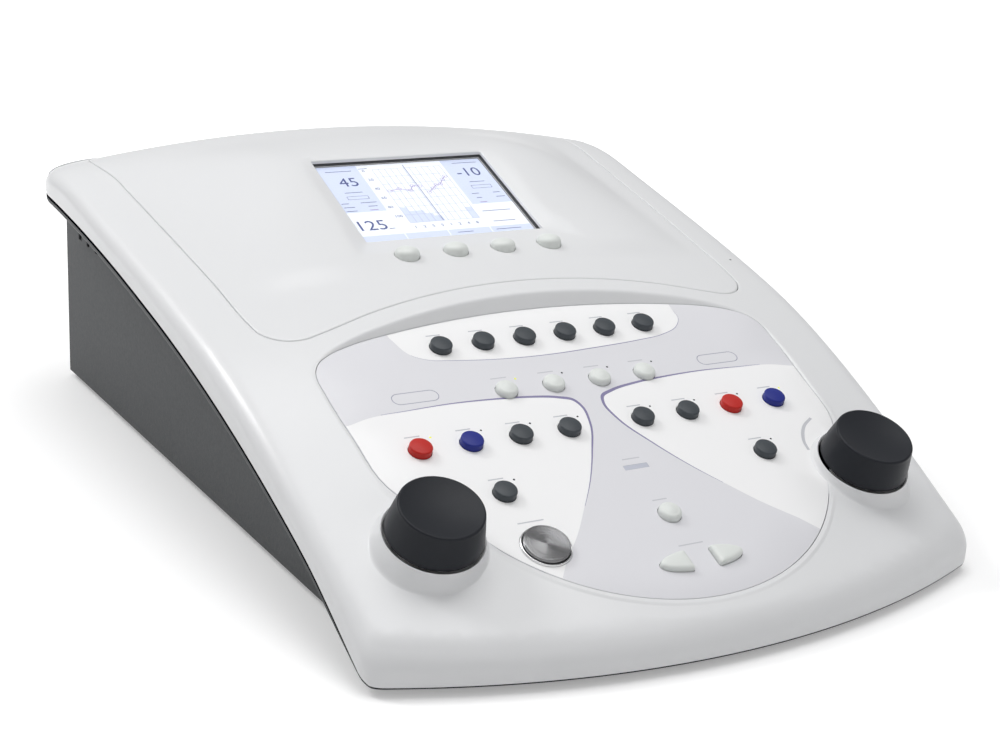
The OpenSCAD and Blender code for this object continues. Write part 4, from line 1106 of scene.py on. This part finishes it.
@dataclass(frozen=True)
class Keypad:
    """Printed film of the keypad, its keys, lights and response window."""

    form: Form
    key_r: float = 6.1
    hole_r: float = 6.4
    ring_r: float = 7.6
    light_r: float = 0.55
    bezel_r: float = 13.45
    collar_r: float = 27.4
    film_foot: float = -1.2
    menu: tuple[tuple[float, float], ...] = tuple(((i - 2.5) * 25.9, 23.1) for i in range(6))
    mode: tuple[tuple[float, float], ...] = tuple(((i - 1.5) * 29, -16.2) for i in range(4))
    right: tuple[tuple[float, float], ...] = (*((22.9 + i * 29, -50.6) for i in range(4)), (79.9, -87.8))
    store: tuple[float, float] = (0.0, -119.0)
    interrupter: tuple[float, float] = (-75.6, -125.8)
    oval_v: float = -151.3
    oval: tuple[float, float, float] = (24.5, 6.7, 7.5)

    @property
    def left(self) -> tuple[tuple[float, float], ...]:
        """Left keys: the right ones mirrored."""
        return tuple((-x, v) for x, v in self.right)

    @property
    def light_spots(self) -> list[tuple[float, float]]:
        """A light up and to the right of each of these keys."""
        return [(x + 9.5, v + 8.3) for x, v in (*self.mode, *self.left, *self.right)]

    def oval_half(self, side: int, g: float = 0.0) -> Array:
        """Half of the split oval, counter-clockwise: an ellipse cut off straight, its corners rounded.

        The outline is spaced evenly and each point is then averaged with its
        neighbours, p = (before + 2 p + after) / 4, a few times.
        """
        a, b, x0 = self.oval
        t0 = math.acos(x0 / a)
        t = np.linspace(-t0, t0, 60)
        p = np.column_stack([a * np.cos(t), b * np.sin(t)])
        p = np.concatenate([p, p[:1]])
        run = np.concatenate([[0], np.cumsum(np.linalg.norm(np.diff(p, axis=0), axis=1))])
        even = np.linspace(0, run[-1], 97)[:-1]
        p = np.column_stack([np.interp(even, run, p[:, k]) for k in (0, 1)])
        for _ in range(6):
            p = (np.roll(p, 1, 0) + 2 * p + np.roll(p, -1, 0)) / 4
        p = grow(p, g)
        p = p if side > 0 else (p * [-1, 1])[::-1]
        return p + [0, self.oval_v]

    @staticmethod
    def _ribbon(line: Array, wide: float, ends: tuple[float, float] = (0.15, 0.15)) -> Array:
        """Closed outline round a line, widest where t is 0.5 and tapered to its ends."""
        step = np.gradient(line, axis=0)
        normal = np.column_stack([-step[:, 1], step[:, 0]]) / np.linalg.norm(step, axis=1, keepdims=True)
        t = np.linspace(0, 1, len(line))
        half = (np.interp(t, [0, 0.5, 1], [ends[0], 1, ends[1]]) * wide / 2)[:, None]
        return np.concatenate([line - normal * half, (line + normal * half)[::-1]])

    def fields(self) -> list[tuple[Ink, Array]]:
        """Areas of the film, later ones over earlier ones, each a closed outline."""
        strip = np.array([(-90, 35), (-84, 20), (-73, 14), (-67, 13), (-34, 9), (-6, 8), (24, 9), (56, 11), (72, 13),
                          (86, 19), (91, 26), (91, 33)], float)
        zone = np.array([(-138, -26), (-127, -23), (-105, -21.6), (-78, -20.6), (-52, -21.6), (-34, -23.2),
                         (-17, -26.6), (-9.5, -30), (-7.4, -35), (-9, -48), (-19, -69), (-31, -89), (-45, -108),
                         (-55, -121), (-70, -137)], float)
        strip, zone = curve(strip, 6, False), curve(zone, 6, False)
        areas = [(Ink.FIELD, np.concatenate([strip, [(94, 60), (-94, 60)]])[::-1])]
        for side in (-1, 1):
            flip = np.array([-side, 1])
            areas.append((Ink.FIELD, np.concatenate([zone, [(-95, -170), (-165, -120), (-165, -30)]]) * flip))
            areas.append((Ink.LINE, self._ribbon(zone[8:72] + [0.45, 0.35], 2.1, (0.1, 0.1)) * flip))
        areas.append((Ink.LINE, self._ribbon(strip[6:66] - [0, 0.3], 0.6, (0.2, 0.2))))
        for x in (-1, 1):
            areas += self._pill(x * 95.5, -12.2)
        # Faint grey arc up and to the left of the right dial; none is drawn by the left dial.
        arc_line = curve(np.array([(124, -69), (116, -74), (111, -80), (108, -86), (107, -92)], float), 5, False)
        areas.append((Ink.FAINT, self._ribbon(arc_line, 2.0, (0.8, 0.8))))
        return areas

    @staticmethod
    def _pill(x: float, v: float) -> list[tuple[Ink, Array]]:
        """Outline of a pill: a printed stadium with a smaller one of panel colour on it."""
        def stadium(w: float, h: float) -> Array:
            """Two half circles joined."""
            r = h / 2
            return np.concatenate([arc((x + w / 2 - r, v), r, -90, 90, 14), arc((x - w / 2 + r, v), r, 90, 270, 14)])
        return [(Ink.PRINT, stadium(27, 8.6)), (Ink.PANEL, stadium(26, 7.6))]

    def marks(self) -> list[tuple[Ink, Array]]:
        """Plain bars where the keys are labelled."""
        found = []
        for x, v, w in ([(x, v + 10.4, 8.0) for x, v in self.menu] + [(x, v + 10.4, 9.0) for x, v in self.mode]
                        + [(x, v + 10.4, 8.0) for x, v in (*self.left, *self.right)]
                        + [(-75.6, -108.6, 14.0), (0, -77.8, 10.0), (0, -108.6, 8.0), (0, -140.6, 14.0)]):
            found.append((Ink.FAINT, np.concatenate([arc((x + w / 2, v), 0.4, -90, 90, 5),
                                                     arc((x - w / 2, v), 0.4, 90, 270, 5)])))
        return found

    def film(self) -> None:
        """Make the printed film: one flat sheet whose triangles follow every printed edge."""
        shell = Shell()
        base = self.form.pad_outline()
        steps = ((-0.35, 0.0), (-0.1, -0.1), (0.0, -0.35), (0.0, self.film_foot))
        shell.grid(np.stack([PAD.place(*grow(base, g).T, n) for g, n in steps]))
        outer = grow(base, -0.35)
        keys = [*self.menu, *self.mode, *self.left, *self.right, self.store]
        holes = [arc(p, self.hole_r, 0, 352.5, 47) for p in keys]
        holes.append(arc(self.interrupter, self.bezel_r, 0, 355, 71))
        holes += [arc(p, self.light_r + 0.1, 0, 340, 17) for p in self.light_spots]
        holes += [self.oval_half(s, 0.3) for s in (-1, 1)]
        holes.append(np.array([(-7.4, -85.5), (7.4, -85.5), (7.4, -82.1), (-7.4, -82.1)]))
        for hole in holes:
            shell.grid(np.stack([PAD.place(*hole.T, n) for n in (0.0, self.film_foot)]))
        collars = [arc((s * DIAL_X, DIAL_V), self.collar_r, 0, 357, 119) for s in (-1, 1)]
        # White rings round the keys: painted highlight where each key hole's rim catches light.
        rings = [(Ink.RING, arc(p, self.ring_r, 0, 352.5, 47)) for p in (*self.menu, *self.left, *self.right)]
        areas = self.fields() + rings + self.marks()
        loops = [outer, *holes, *collars, *(a for _, a in areas)]
        flat, faces = fill(loops, np.empty((0, 2)), between(outer, [*holes, *collars]))
        middle = flat[faces].mean(1)
        inks = np.zeros(len(faces), int)
        for ink, area in areas:
            inks[inside(middle, area)] = ink.value
        shell.triangles(PAD.place(flat[:, 0], flat[:, 1], 0.0), faces, inks)
        piece = shell.piece("keypad_film", "case",
                            [getattr(Look, ink.name).paint for ink in Ink], 30, (0, -0.38, 0.92))
        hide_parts("keypad_overlay")

    def round_key(self, name: str, spot: tuple[float, float], look: Look, pillow: bool) -> None:
        """Make one round key."""
        profile = rounded(self.key_r, 4.2, 2.3 if pillow else 1.0, 0.7 if pillow else 0.45, -4.0)
        piece = Shell().grid(turned(profile, PAD, *spot, 64)).piece(name + "_cap", name, [look.paint], 60)
        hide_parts(name)

    def half_key(self, name: str, side: int) -> None:
        """Make one half of the split oval, with rings drawn in and raised to a soft face."""
        base = self.oval_half(side)
        middle = base.mean(0)
        rows = [PAD.place(*(middle + (base - middle) * f).T, n)
                for f, n in ((1, -4.0), (1, 0.0), (1, 1.0), (0.985, 1.7), (0.95, 2.2), (0.88, 2.6), (0.78, 2.85),
                             (0.62, 3.02), (0.4, 3.1), (0.2, 3.14))]
        shell = Shell().grid(np.stack(rows))
        shell.cap(rows[-1], rows[-1].mean(0))
        piece = shell.piece(name + "_cap", name, [Look.PALE_KEY.paint], 50)
        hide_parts(name)

    def interrupter_key(self) -> None:
        """Make the steel key, slightly dished, and the bright ring round it."""
        x, v = self.interrupter
        t = math.radians(PAD.tilt)
        centre = PAD.place(x, v, 3.0)
        steel = TurnedSteel("turned_steel", tuple((centre * MM).tolist()), (0, -math.sin(t), math.cos(t)))
        profile = rounded(12.0, 2.3, 0.4, -0.5, -4.0)
        piece = Shell().grid(turned(profile, PAD, x, v, 96)).piece("interrupter_cap", "interrupter_key",
                                                                    [steel.material()], 60)
        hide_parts("interrupter_key")
        ring = np.array([[12.3, -1.2], [12.3, 0.5], [12.45, 0.8], [12.8, 0.9], [13.15, 0.75], [13.3, 0.4],
                         [13.35, -1.2], [12.3, -1.2]])
        piece = Shell().grid(turned(ring, PAD, x, v, 96)).piece("interrupter_bezel", "case", [Look.CHROME.paint], 70)
        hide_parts("interrupter_ring")

    def lights(self) -> None:
        """Make the small lights; those of the first mode key and of both fourth side keys are lit."""
        left, right = len(self.mode), len(self.mode) + len(self.left)
        shell, lit = Shell(), {0, left + 3, right + 3}
        profile = np.array([[0.6, -3.0], [0.6, 0.0], [0.5, 0.12], [0.3, 0.2], [0.0, 0.22]])
        for i, (x, v) in enumerate(self.light_spots):
            shell.grid(turned(profile, PAD, x, v, 20), True, int(i in lit))
        piece = shell.piece("light_pipes", "case", [Look.LIGHT_OFF.paint, Look.LIGHT_ON.paint], 60)
        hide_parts("key_lights")

    def build(self) -> None:
        """Make the film, every key, the lights and the steel key."""
        self.film()
        dark, pale, red, blue = Look.DARK_KEY, Look.PALE_KEY, Look.RED_KEY, Look.BLUE_KEY
        for i, p in enumerate(self.menu):
            self.round_key(f"menu_key_{i + 1}", p, dark, False)
        for i, p in enumerate(self.mode):
            self.round_key(f"mode_key_{i + 1}", p, pale, True)
        for i, (p, look) in enumerate(zip(self.left, (dark, dark, blue, red, dark))):
            self.round_key(f"left_key_{i + 1}", p, look, False)
        for i, (p, look) in enumerate(zip(self.right, (dark, dark, red, blue, dark))):
            self.round_key(f"right_key_{i + 1}", p, look, False)
        self.round_key("store_key", self.store, pale, True)
        self.half_key("frequency_down_key", -1)
        self.half_key("frequency_up_key", 1)
        self.interrupter_key()
        self.lights()


@dataclass(frozen=True)
class Dial:
    """Dished dial on its collar."""

    side: int
    foot_r: float = 24.4
    top_r: float = 21.4
    low: float = 4.4
    tall: float = 18.0
    dish: float = 2.6
    edge: float = 1.1

    def build(self) -> None:
        """Make the dial: a flared side, a round edge, a dish of depth d (1 - t^2)."""
        top, reach = self.low + self.tall, self.top_r - self.edge
        t = np.linspace(0, 1, 14)
        side = np.column_stack([self.foot_r - (self.foot_r - self.top_r) * t**1.25,
                                self.low + 0.7 + (self.tall - 0.7 - self.edge) * t])
        a = np.radians(np.linspace(8, 92, 9))
        edge = np.column_stack([reach + self.edge * np.cos(a), top - self.edge + self.edge * np.sin(a)])
        q = np.linspace(0.985, 0, 22)
        face = np.column_stack([reach * q, top - self.dish * (1 - q**2)])
        foot = np.array([[6.5, self.low], [self.foot_r - 1.0, self.low], [self.foot_r - 0.3, self.low + 0.2]])
        name = hand(self.side)
        rows = turned(np.concatenate([foot, side, edge, face]), PAD, self.side * DIAL_X, DIAL_V, 128)
        piece = Shell().grid(rows).piece(name + "_dial_cap", name + "_dial_body", [Look.DIAL.paint], 70)
        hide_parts(name + "_dial")


class Lift:
    """Heights of the layers of the picture over its plane."""

    GROUND = 0.03
    PANEL = 0.05
    CELL = 0.06
    GRID = 0.07
    AXIS = 0.08
    TRACE = 0.09
    SIGN = 0.10
    DIGIT = 0.11


@dataclass(frozen=True)
class Display:
    """Picture, black surround and soft keys of the display."""

    wide: float = 115.2
    high: float = 82.0

    def _at(self, fx: Array, fy: Array, lift: float) -> Array:
        """World points from fractions of the picture, counted from its top left corner."""
        return LCD.place((np.asarray(fx) - 0.5) * self.wide, (0.5 - np.asarray(fy)) * self.high, lift)

    def _box(self, shell: Shell, x0: float, y0: float, x1: float, y1: float, lift: float, ink: int) -> None:
        """Rectangle on the picture, in fractions of it."""
        p = self._at([x0, x1, x1, x0], [y1, y1, y0, y0], lift)
        shell.triangles(p, np.array([[0, 1, 2], [0, 2, 3]]), ink)

    def _line(self, shell: Shell, points: list[tuple[float, float]], width: float, lift: float, ink: int) -> None:
        """Line of even width in millimetres through points given as fractions of the picture."""
        p = np.array(points) * [self.wide, self.high]
        for a, b in zip(p[:-1], p[1:]):
            d = (b - a) / np.linalg.norm(b - a) * width / 2
            n = np.array([-d[1], d[0]])
            q = np.array([a - d * 0.5 - n, b + d * 0.5 - n, b + d * 0.5 + n, a - d * 0.5 + n]) / [self.wide, self.high]
            shell.triangles(self._at(q[:, 0], q[:, 1], lift), np.array([[0, 2, 1], [0, 3, 2]]), ink)

    def _digits(self, shell: Shell, text: str, x: float, y: float, tall: float, ink: int) -> None:
        """Plain numerals, from the built-in face, with their lower left corner at a fraction of the picture."""
        data = bpy.data.curves.new("numerals", "FONT")
        data.body = text
        data.size = tall * 1.4
        data.resolution_u = 3
        obj = bpy.data.objects.new("numerals", data)
        bpy.context.scene.collection.objects.link(obj)
        mesh = bpy.data.meshes.new_from_object(obj)
        co = np.empty(len(mesh.vertices) * 3)
        mesh.vertices.foreach_get("co", co)
        mesh.calc_loop_triangles()
        tris = np.empty(len(mesh.loop_triangles) * 3, dtype=np.int32)
        mesh.loop_triangles.foreach_get("vertices", tris)
        bpy.data.objects.remove(obj)
        bpy.data.meshes.remove(mesh)
        bpy.data.curves.remove(data)
        co = co.reshape(-1, 3)
        points = self._at(x + co[:, 0] / self.wide, y - co[:, 1] / self.high, Lift.DIGIT)
        shell.triangles(points, tris.reshape(-1, 3), ink)

    def picture(self) -> None:
        """Make the picture: side panels, a graph with two traces, stepped bars and a row of cells."""
        s = Shell()
        ground, blue, grid, ink, red = range(5)
        self._box(s, 0, 0, 1, 1, Lift.GROUND, ground)
        self._box(s, 0, 0, 0.245, 0.62, Lift.PANEL, blue)
        self._box(s, 0.755, 0, 1, 0.62, Lift.PANEL, blue)
        x0, x1, y0, y1, bar = 0.325, 0.735, 0.07, 0.80, 0.041
        for i in range(12):
            x = x0 + (x1 - x0) * i / 11
            self._line(s, [(x, y0), (x, y1)], 0.32, Lift.GRID, grid)
        for i in range(8):
            y = y0 + (y1 - y0) * i / 7
            self._line(s, [(x0, y), (x1, y)], 0.32, Lift.GRID, grid)
        for i, h in enumerate((0.20, 0.15, 0.15, 0.10, 0.07)):
            self._box(s, x0 + i * bar, y1 - h, x0 + (i + 1) * bar, y1, Lift.CELL, blue)
        self._box(s, x1 - bar, y1 - 0.15, x1, y1, Lift.CELL, blue)
        self._line(s, [(0.52, 0.03), (0.52, y1)], 0.45, Lift.AXIS, ink)
        first = [(0.34, 0.37), (0.40, 0.35), (0.46, 0.38), (0.49, 0.32), (0.53, 0.33)]
        second = [(0.56, 0.42), (0.60, 0.37), (0.63, 0.33), (0.66, 0.32), (0.69, 0.26), (0.72, 0.22)]
        for trace in (first, second):
            self._line(s, trace, 0.45, Lift.TRACE, red)
            for x, y in trace:
                a = np.linspace(0, 2 * np.pi, 9)
                loop = [(x + 1.5 / self.wide * math.cos(t), y + 1.5 / self.high * math.sin(t)) for t in a]
                self._line(s, loop, 0.3, Lift.SIGN, red)
        self._digits(s, "45", 0.085, 0.275, 9.5, ink)
        self._digits(s, "-10", 0.80, 0.235, 9.5, ink)
        self._digits(s, "125", 0.006, 0.855, 10.2, ink)
        for i in range(6):
            self._digits(s, str(i * 20), 0.262, y0 + 0.025 + i * 0.125, 2.6, ink)
        for i, n in enumerate(("1", "2", "5", "5", "1", "2", "4", "8")):
            self._digits(s, n, 0.33 + i * 0.052, 0.872, 2.6, ink)
        for x, y, w in ((0.05, 0.07, 0.15), (0.08, 0.36, 0.10), (0.02, 0.50, 0.04), (0.02, 0.55, 0.06),
                        (0.02, 0.60, 0.06), (0.13, 0.50, 0.09), (0.16, 0.55, 0.05), (0.82, 0.05, 0.15),
                        (0.84, 0.32, 0.09), (0.80, 0.48, 0.04), (0.81, 0.54, 0.03), (0.93, 0.48, 0.04),
                        (0.93, 0.54, 0.05), (0.78, 0.72, 0.17), (0.80, 0.86, 0.13), (0.55, 0.965, 0.09),
                        (0.78, 0.965, 0.15), (0.25, 0.05, 0.05), (0.19, 0.85, 0.03)):
            self._line(s, [(x, y), (x + w, y)], 0.55, Lift.TRACE, ink)
        self._line(s, [(0.155, 0.60), (0.20, 0.60)], 0.7, Lift.TRACE, red)
        self._line(s, [(0.81, 0.60), (0.85, 0.60)], 0.7, Lift.TRACE, red)
        for x, y in ((0.075, 0.43), (0.83, 0.39)):
            self._line(s, [(x, y - 0.02), (x + 0.12, y - 0.02), (x + 0.12, y + 0.02), (x, y + 0.02), (x, y - 0.02)],
                       0.3, Lift.TRACE, ink)
        for i in range(4):
            self._box(s, i / 4 + 0.003, 0.925, (i + 1) / 4 - 0.003, 0.995, Lift.CELL, blue)
        piece = s.piece("display_picture", "case",
                        [Look.SCREEN.paint, Look.SCREEN_BLUE.paint, Look.SCREEN_GRID.paint, Look.SCREEN_INK.paint,
                         Look.SCREEN_RED.paint], 30, (0, -0.34, 0.94))

    def surround(self) -> None:
        """Make the black surround: a wall from the window down to the picture and a face round it."""
        loops = []
        for w, lo, hi, n in ((59.6, -47.2, 43.2, 2.3), (59.6, -47.2, 43.2, 0.15), (57.6, -41.0, 41.0, 0.15),
                             (57.6, -41.0, 41.0, 0.0)):
            loops.append(LCD.place(np.array([-w, w, w, -w]), np.array([lo, lo, hi, hi]), n))
        piece = Shell().grid(np.stack(loops)).piece("display_surround", "case", [Look.BLACK.paint], 30)
        line = [LCD.place(np.array([-w, w, w, -w]), np.array([-w2, -w2, w2, w2]), n)
                for w, w2, n in ((58.35, 41.75, 0.16), (58.35, 41.75, 0.4), (58.05, 41.45, 0.4), (58.05, 41.45, 0.16))]
        piece = Shell().grid(np.stack(line)).piece("display_edge_line", "case", [Look.FIELD.paint], 30)

    def soft_keys(self) -> None:
        """Make the four domed keys."""
        a = np.radians(np.linspace(0, 90, 16))
        dome = np.column_stack([7.2 * np.cos(a) ** 0.9, 0.2 + 4.0 * np.sin(a) ** 0.95])
        profile = np.concatenate([[[7.2, -3.4]], dome])
        for i, x in enumerate(SOFT_KEY_X):
            rows = turned(profile, SILL, x, 0.0, 64)
            name = f"soft_key_{i + 1}"
            piece = Shell().grid(rows).piece(name + "_cap", name, [Look.PALE_KEY.paint], 60)
            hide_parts(name)

    def build(self) -> None:
        """Make the picture, its surround and the soft keys."""
        self.picture()
        self.surround()
        self.soft_keys()


class Carried:
    """Frame nodes that stay as they are and only get a finish."""

    paints = {
        Look.RUBBER: ("rubber_feet",),
        Look.PANE: ("lcd_window",),
        Look.BLACK: ("lcd_frame", "lcd_screen", "key_switches", "left_encoder", "right_encoder", "power_inlet",
                     "power_switch", "power_rocker"),
        Look.BOARD: ("keypad_board", "soft_key_board", "main_board"),
        Look.STEEL: ("left_shaft", "right_shaft", "power_supply", "data_port", "base_screws", "board_screws"),
        Look.CHROME: ("jack_sockets",),
        Look.RIBBON: ("display_ribbon",),
        Look.LENS: ("response_window",),
    }

    @classmethod
    def dress(cls, nodes: dict) -> None:
        """Give each carried node its finish."""
        for look, names in cls.paints.items():
            for name in names:
                obj = nodes[name]
                if not obj.material_slots:
                    obj.data.materials.append(look.paint)
                for slot in obj.material_slots:
                    slot.material = look.paint
                LOG.info("%s dressed in %s", name, look.value.name)


@dataclass(frozen=True)
class Studio:
    """Floor, world, lamps and camera."""

    azimuth: float = 30.09
    elevation: float = 18.59
    roll: float = 3.24
    lens: float = 64.26
    place: tuple[float, float, float] = (-493.6, -874.5, 397.4)
    floor_half: float = 6.0

    def camera(self) -> None:
        """Camera at the photograph's view: turned, tipped down and rolled."""
        a, e, r = (math.radians(v) for v in (self.azimuth, self.elevation, self.roll))
        ahead = Vector((math.sin(a) * math.cos(e), math.cos(a) * math.cos(e), -math.sin(e)))
        right = Vector((math.cos(a), -math.sin(a), 0))
        up = right.cross(ahead)
        x, y = math.cos(r) * right + math.sin(r) * up, -math.sin(r) * right + math.cos(r) * up
        data = bpy.data.cameras.new("camera")
        data.lens, data.sensor_width = self.lens, 36
        data.clip_start, data.clip_end = 0.02, 60
        obj = bpy.data.objects.new("camera", data)
        obj.matrix_world = (Matrix.Translation(Vector(self.place) * MM)
                            @ Matrix((x, y, -ahead)).transposed().to_4x4())
        bpy.context.scene.collection.objects.link(obj)
        bpy.context.scene.camera = obj

    def floor(self) -> None:
        """White floor that keeps the shadow: diffuse, with a lift that only the camera, gloss and glass see."""
        h = self.floor_half
        mesh = bpy.data.meshes.new("floor")
        mesh.from_pydata([(-h, -h, 0), (h, -h, 0), (h, h, 0), (-h, h, 0)], [], [(0, 1, 2, 3)])
        obj = bpy.data.objects.new("floor", mesh)
        bpy.context.scene.collection.objects.link(obj)
        mat = bpy.data.materials.new("floor_white")
        mat.use_nodes = True
        tree = mat.node_tree
        tree.nodes.clear()
        out = tree.nodes.new("ShaderNodeOutputMaterial")
        diffuse = tree.nodes.new("ShaderNodeBsdfDiffuse")
        diffuse.inputs["Color"].default_value = (0.80, 0.80, 0.80, 1)
        lift = tree.nodes.new("ShaderNodeEmission")
        where = tree.nodes.new("ShaderNodeTexCoord")
        far = tree.nodes.new("ShaderNodeVectorMath")
        far.operation = "LENGTH"
        tree.links.new(where.outputs["Object"], far.inputs[0])
        grade = tree.nodes.new("ShaderNodeMapRange")
        grade.interpolation_type = "SMOOTHSTEP"
        for label, value in (("From Min", 0.42), ("From Max", 1.0), ("To Min", 0.30), ("To Max", 0.80)):
            grade.inputs[label].default_value = value
        tree.links.new(far.outputs["Value"], grade.inputs["Value"])
        tree.links.new(grade.outputs["Result"], lift.inputs["Strength"])
        path = tree.nodes.new("ShaderNodeLightPath")
        seen = maths(tree, "MAXIMUM", path.outputs["Is Camera Ray"], path.outputs["Is Glossy Ray"])
        seen = maths(tree, "MAXIMUM", seen, path.outputs["Is Transmission Ray"])
        black = tree.nodes.new("ShaderNodeEmission")
        black.inputs["Strength"].default_value = 0.0
        pick = tree.nodes.new("ShaderNodeMixShader")
        tree.links.new(seen, pick.inputs[0])
        tree.links.new(black.outputs[0], pick.inputs[1])
        tree.links.new(lift.outputs[0], pick.inputs[2])
        total = tree.nodes.new("ShaderNodeAddShader")
        tree.links.new(diffuse.outputs[0], total.inputs[0])
        tree.links.new(pick.outputs[0], total.inputs[1])
        tree.links.new(total.outputs[0], out.inputs["Surface"])
        mesh.materials.append(mat)

    def world(self, level: float = 0.41) -> None:
        """Even soft light, seen as plain white by the camera only."""
        world = bpy.data.worlds.new("studio")
        bpy.context.scene.world = world
        world.use_nodes = True
        tree = world.node_tree
        tree.nodes.clear()
        out = tree.nodes.new("ShaderNodeOutputWorld")
        path = tree.nodes.new("ShaderNodeLightPath")
        dim, white = tree.nodes.new("ShaderNodeBackground"), tree.nodes.new("ShaderNodeBackground")
        dim.inputs["Color"].default_value = (0.99, 0.99, 1.0, 1)
        dim.inputs["Strength"].default_value = level
        white.inputs["Strength"].default_value = 1.0
        white.inputs["Color"].default_value = (1, 1, 1, 1)
        mix = tree.nodes.new("ShaderNodeMixShader")
        tree.links.new(path.outputs["Is Camera Ray"], mix.inputs[0])
        tree.links.new(dim.outputs[0], mix.inputs[1])
        tree.links.new(white.outputs[0], mix.inputs[2])
        tree.links.new(mix.outputs[0], out.inputs["Surface"])

    @staticmethod
    def lamp(name: str, at: tuple[float, float, float], to: tuple[float, float, float], size: float,
             watts: float, colour: tuple[float, float, float] = (1, 1, 1)) -> None:
        """Square soft lamp at a point, facing another."""
        data = bpy.data.lights.new(name, "AREA")
        data.shape, data.size, data.energy, data.color = "SQUARE", size, watts, colour
        obj = bpy.data.objects.new(name, data)
        obj.location = at
        obj.rotation_euler = (Vector(to) - Vector(at)).to_track_quat("-Z", "Y").to_euler()
        bpy.context.scene.collection.objects.link(obj)

    def build(self) -> None:
        """Set the whole stage."""
        self.camera()
        self.floor()
        self.world()
        self.lamp("key_lamp", (-1.1, 1.0, 1.7), (0, 0, 0.1), 0.6, 15)
        self.lamp("top_lamp", (0.1, 0.1, 2.2), (0, 0, 0.1), 1.6, 23)
        self.lamp("fill_lamp", (0.4, -2.0, 1.5), (0, 0, 0.1), 1.4, 3)
        view = bpy.context.scene.view_settings
        view.view_transform = "Standard"


def main() -> None:
    """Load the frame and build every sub-assembly."""
    logging.basicConfig(level=logging.INFO, format="%(name)s %(message)s")
    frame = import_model()
    Studio().build()
    form = Form()
    Cover(form).build()
    Hood(form).build()
    Housing(form).build(frame["nodes"]["base_housing"])
    Keypad(form).build()
    for side in (-1, 1):
        Dial(side).build()
    Display().build()
    Carried.dress(frame["nodes"])
    bpy.context.view_layer.update()


if __name__ == "__main__":
    main()
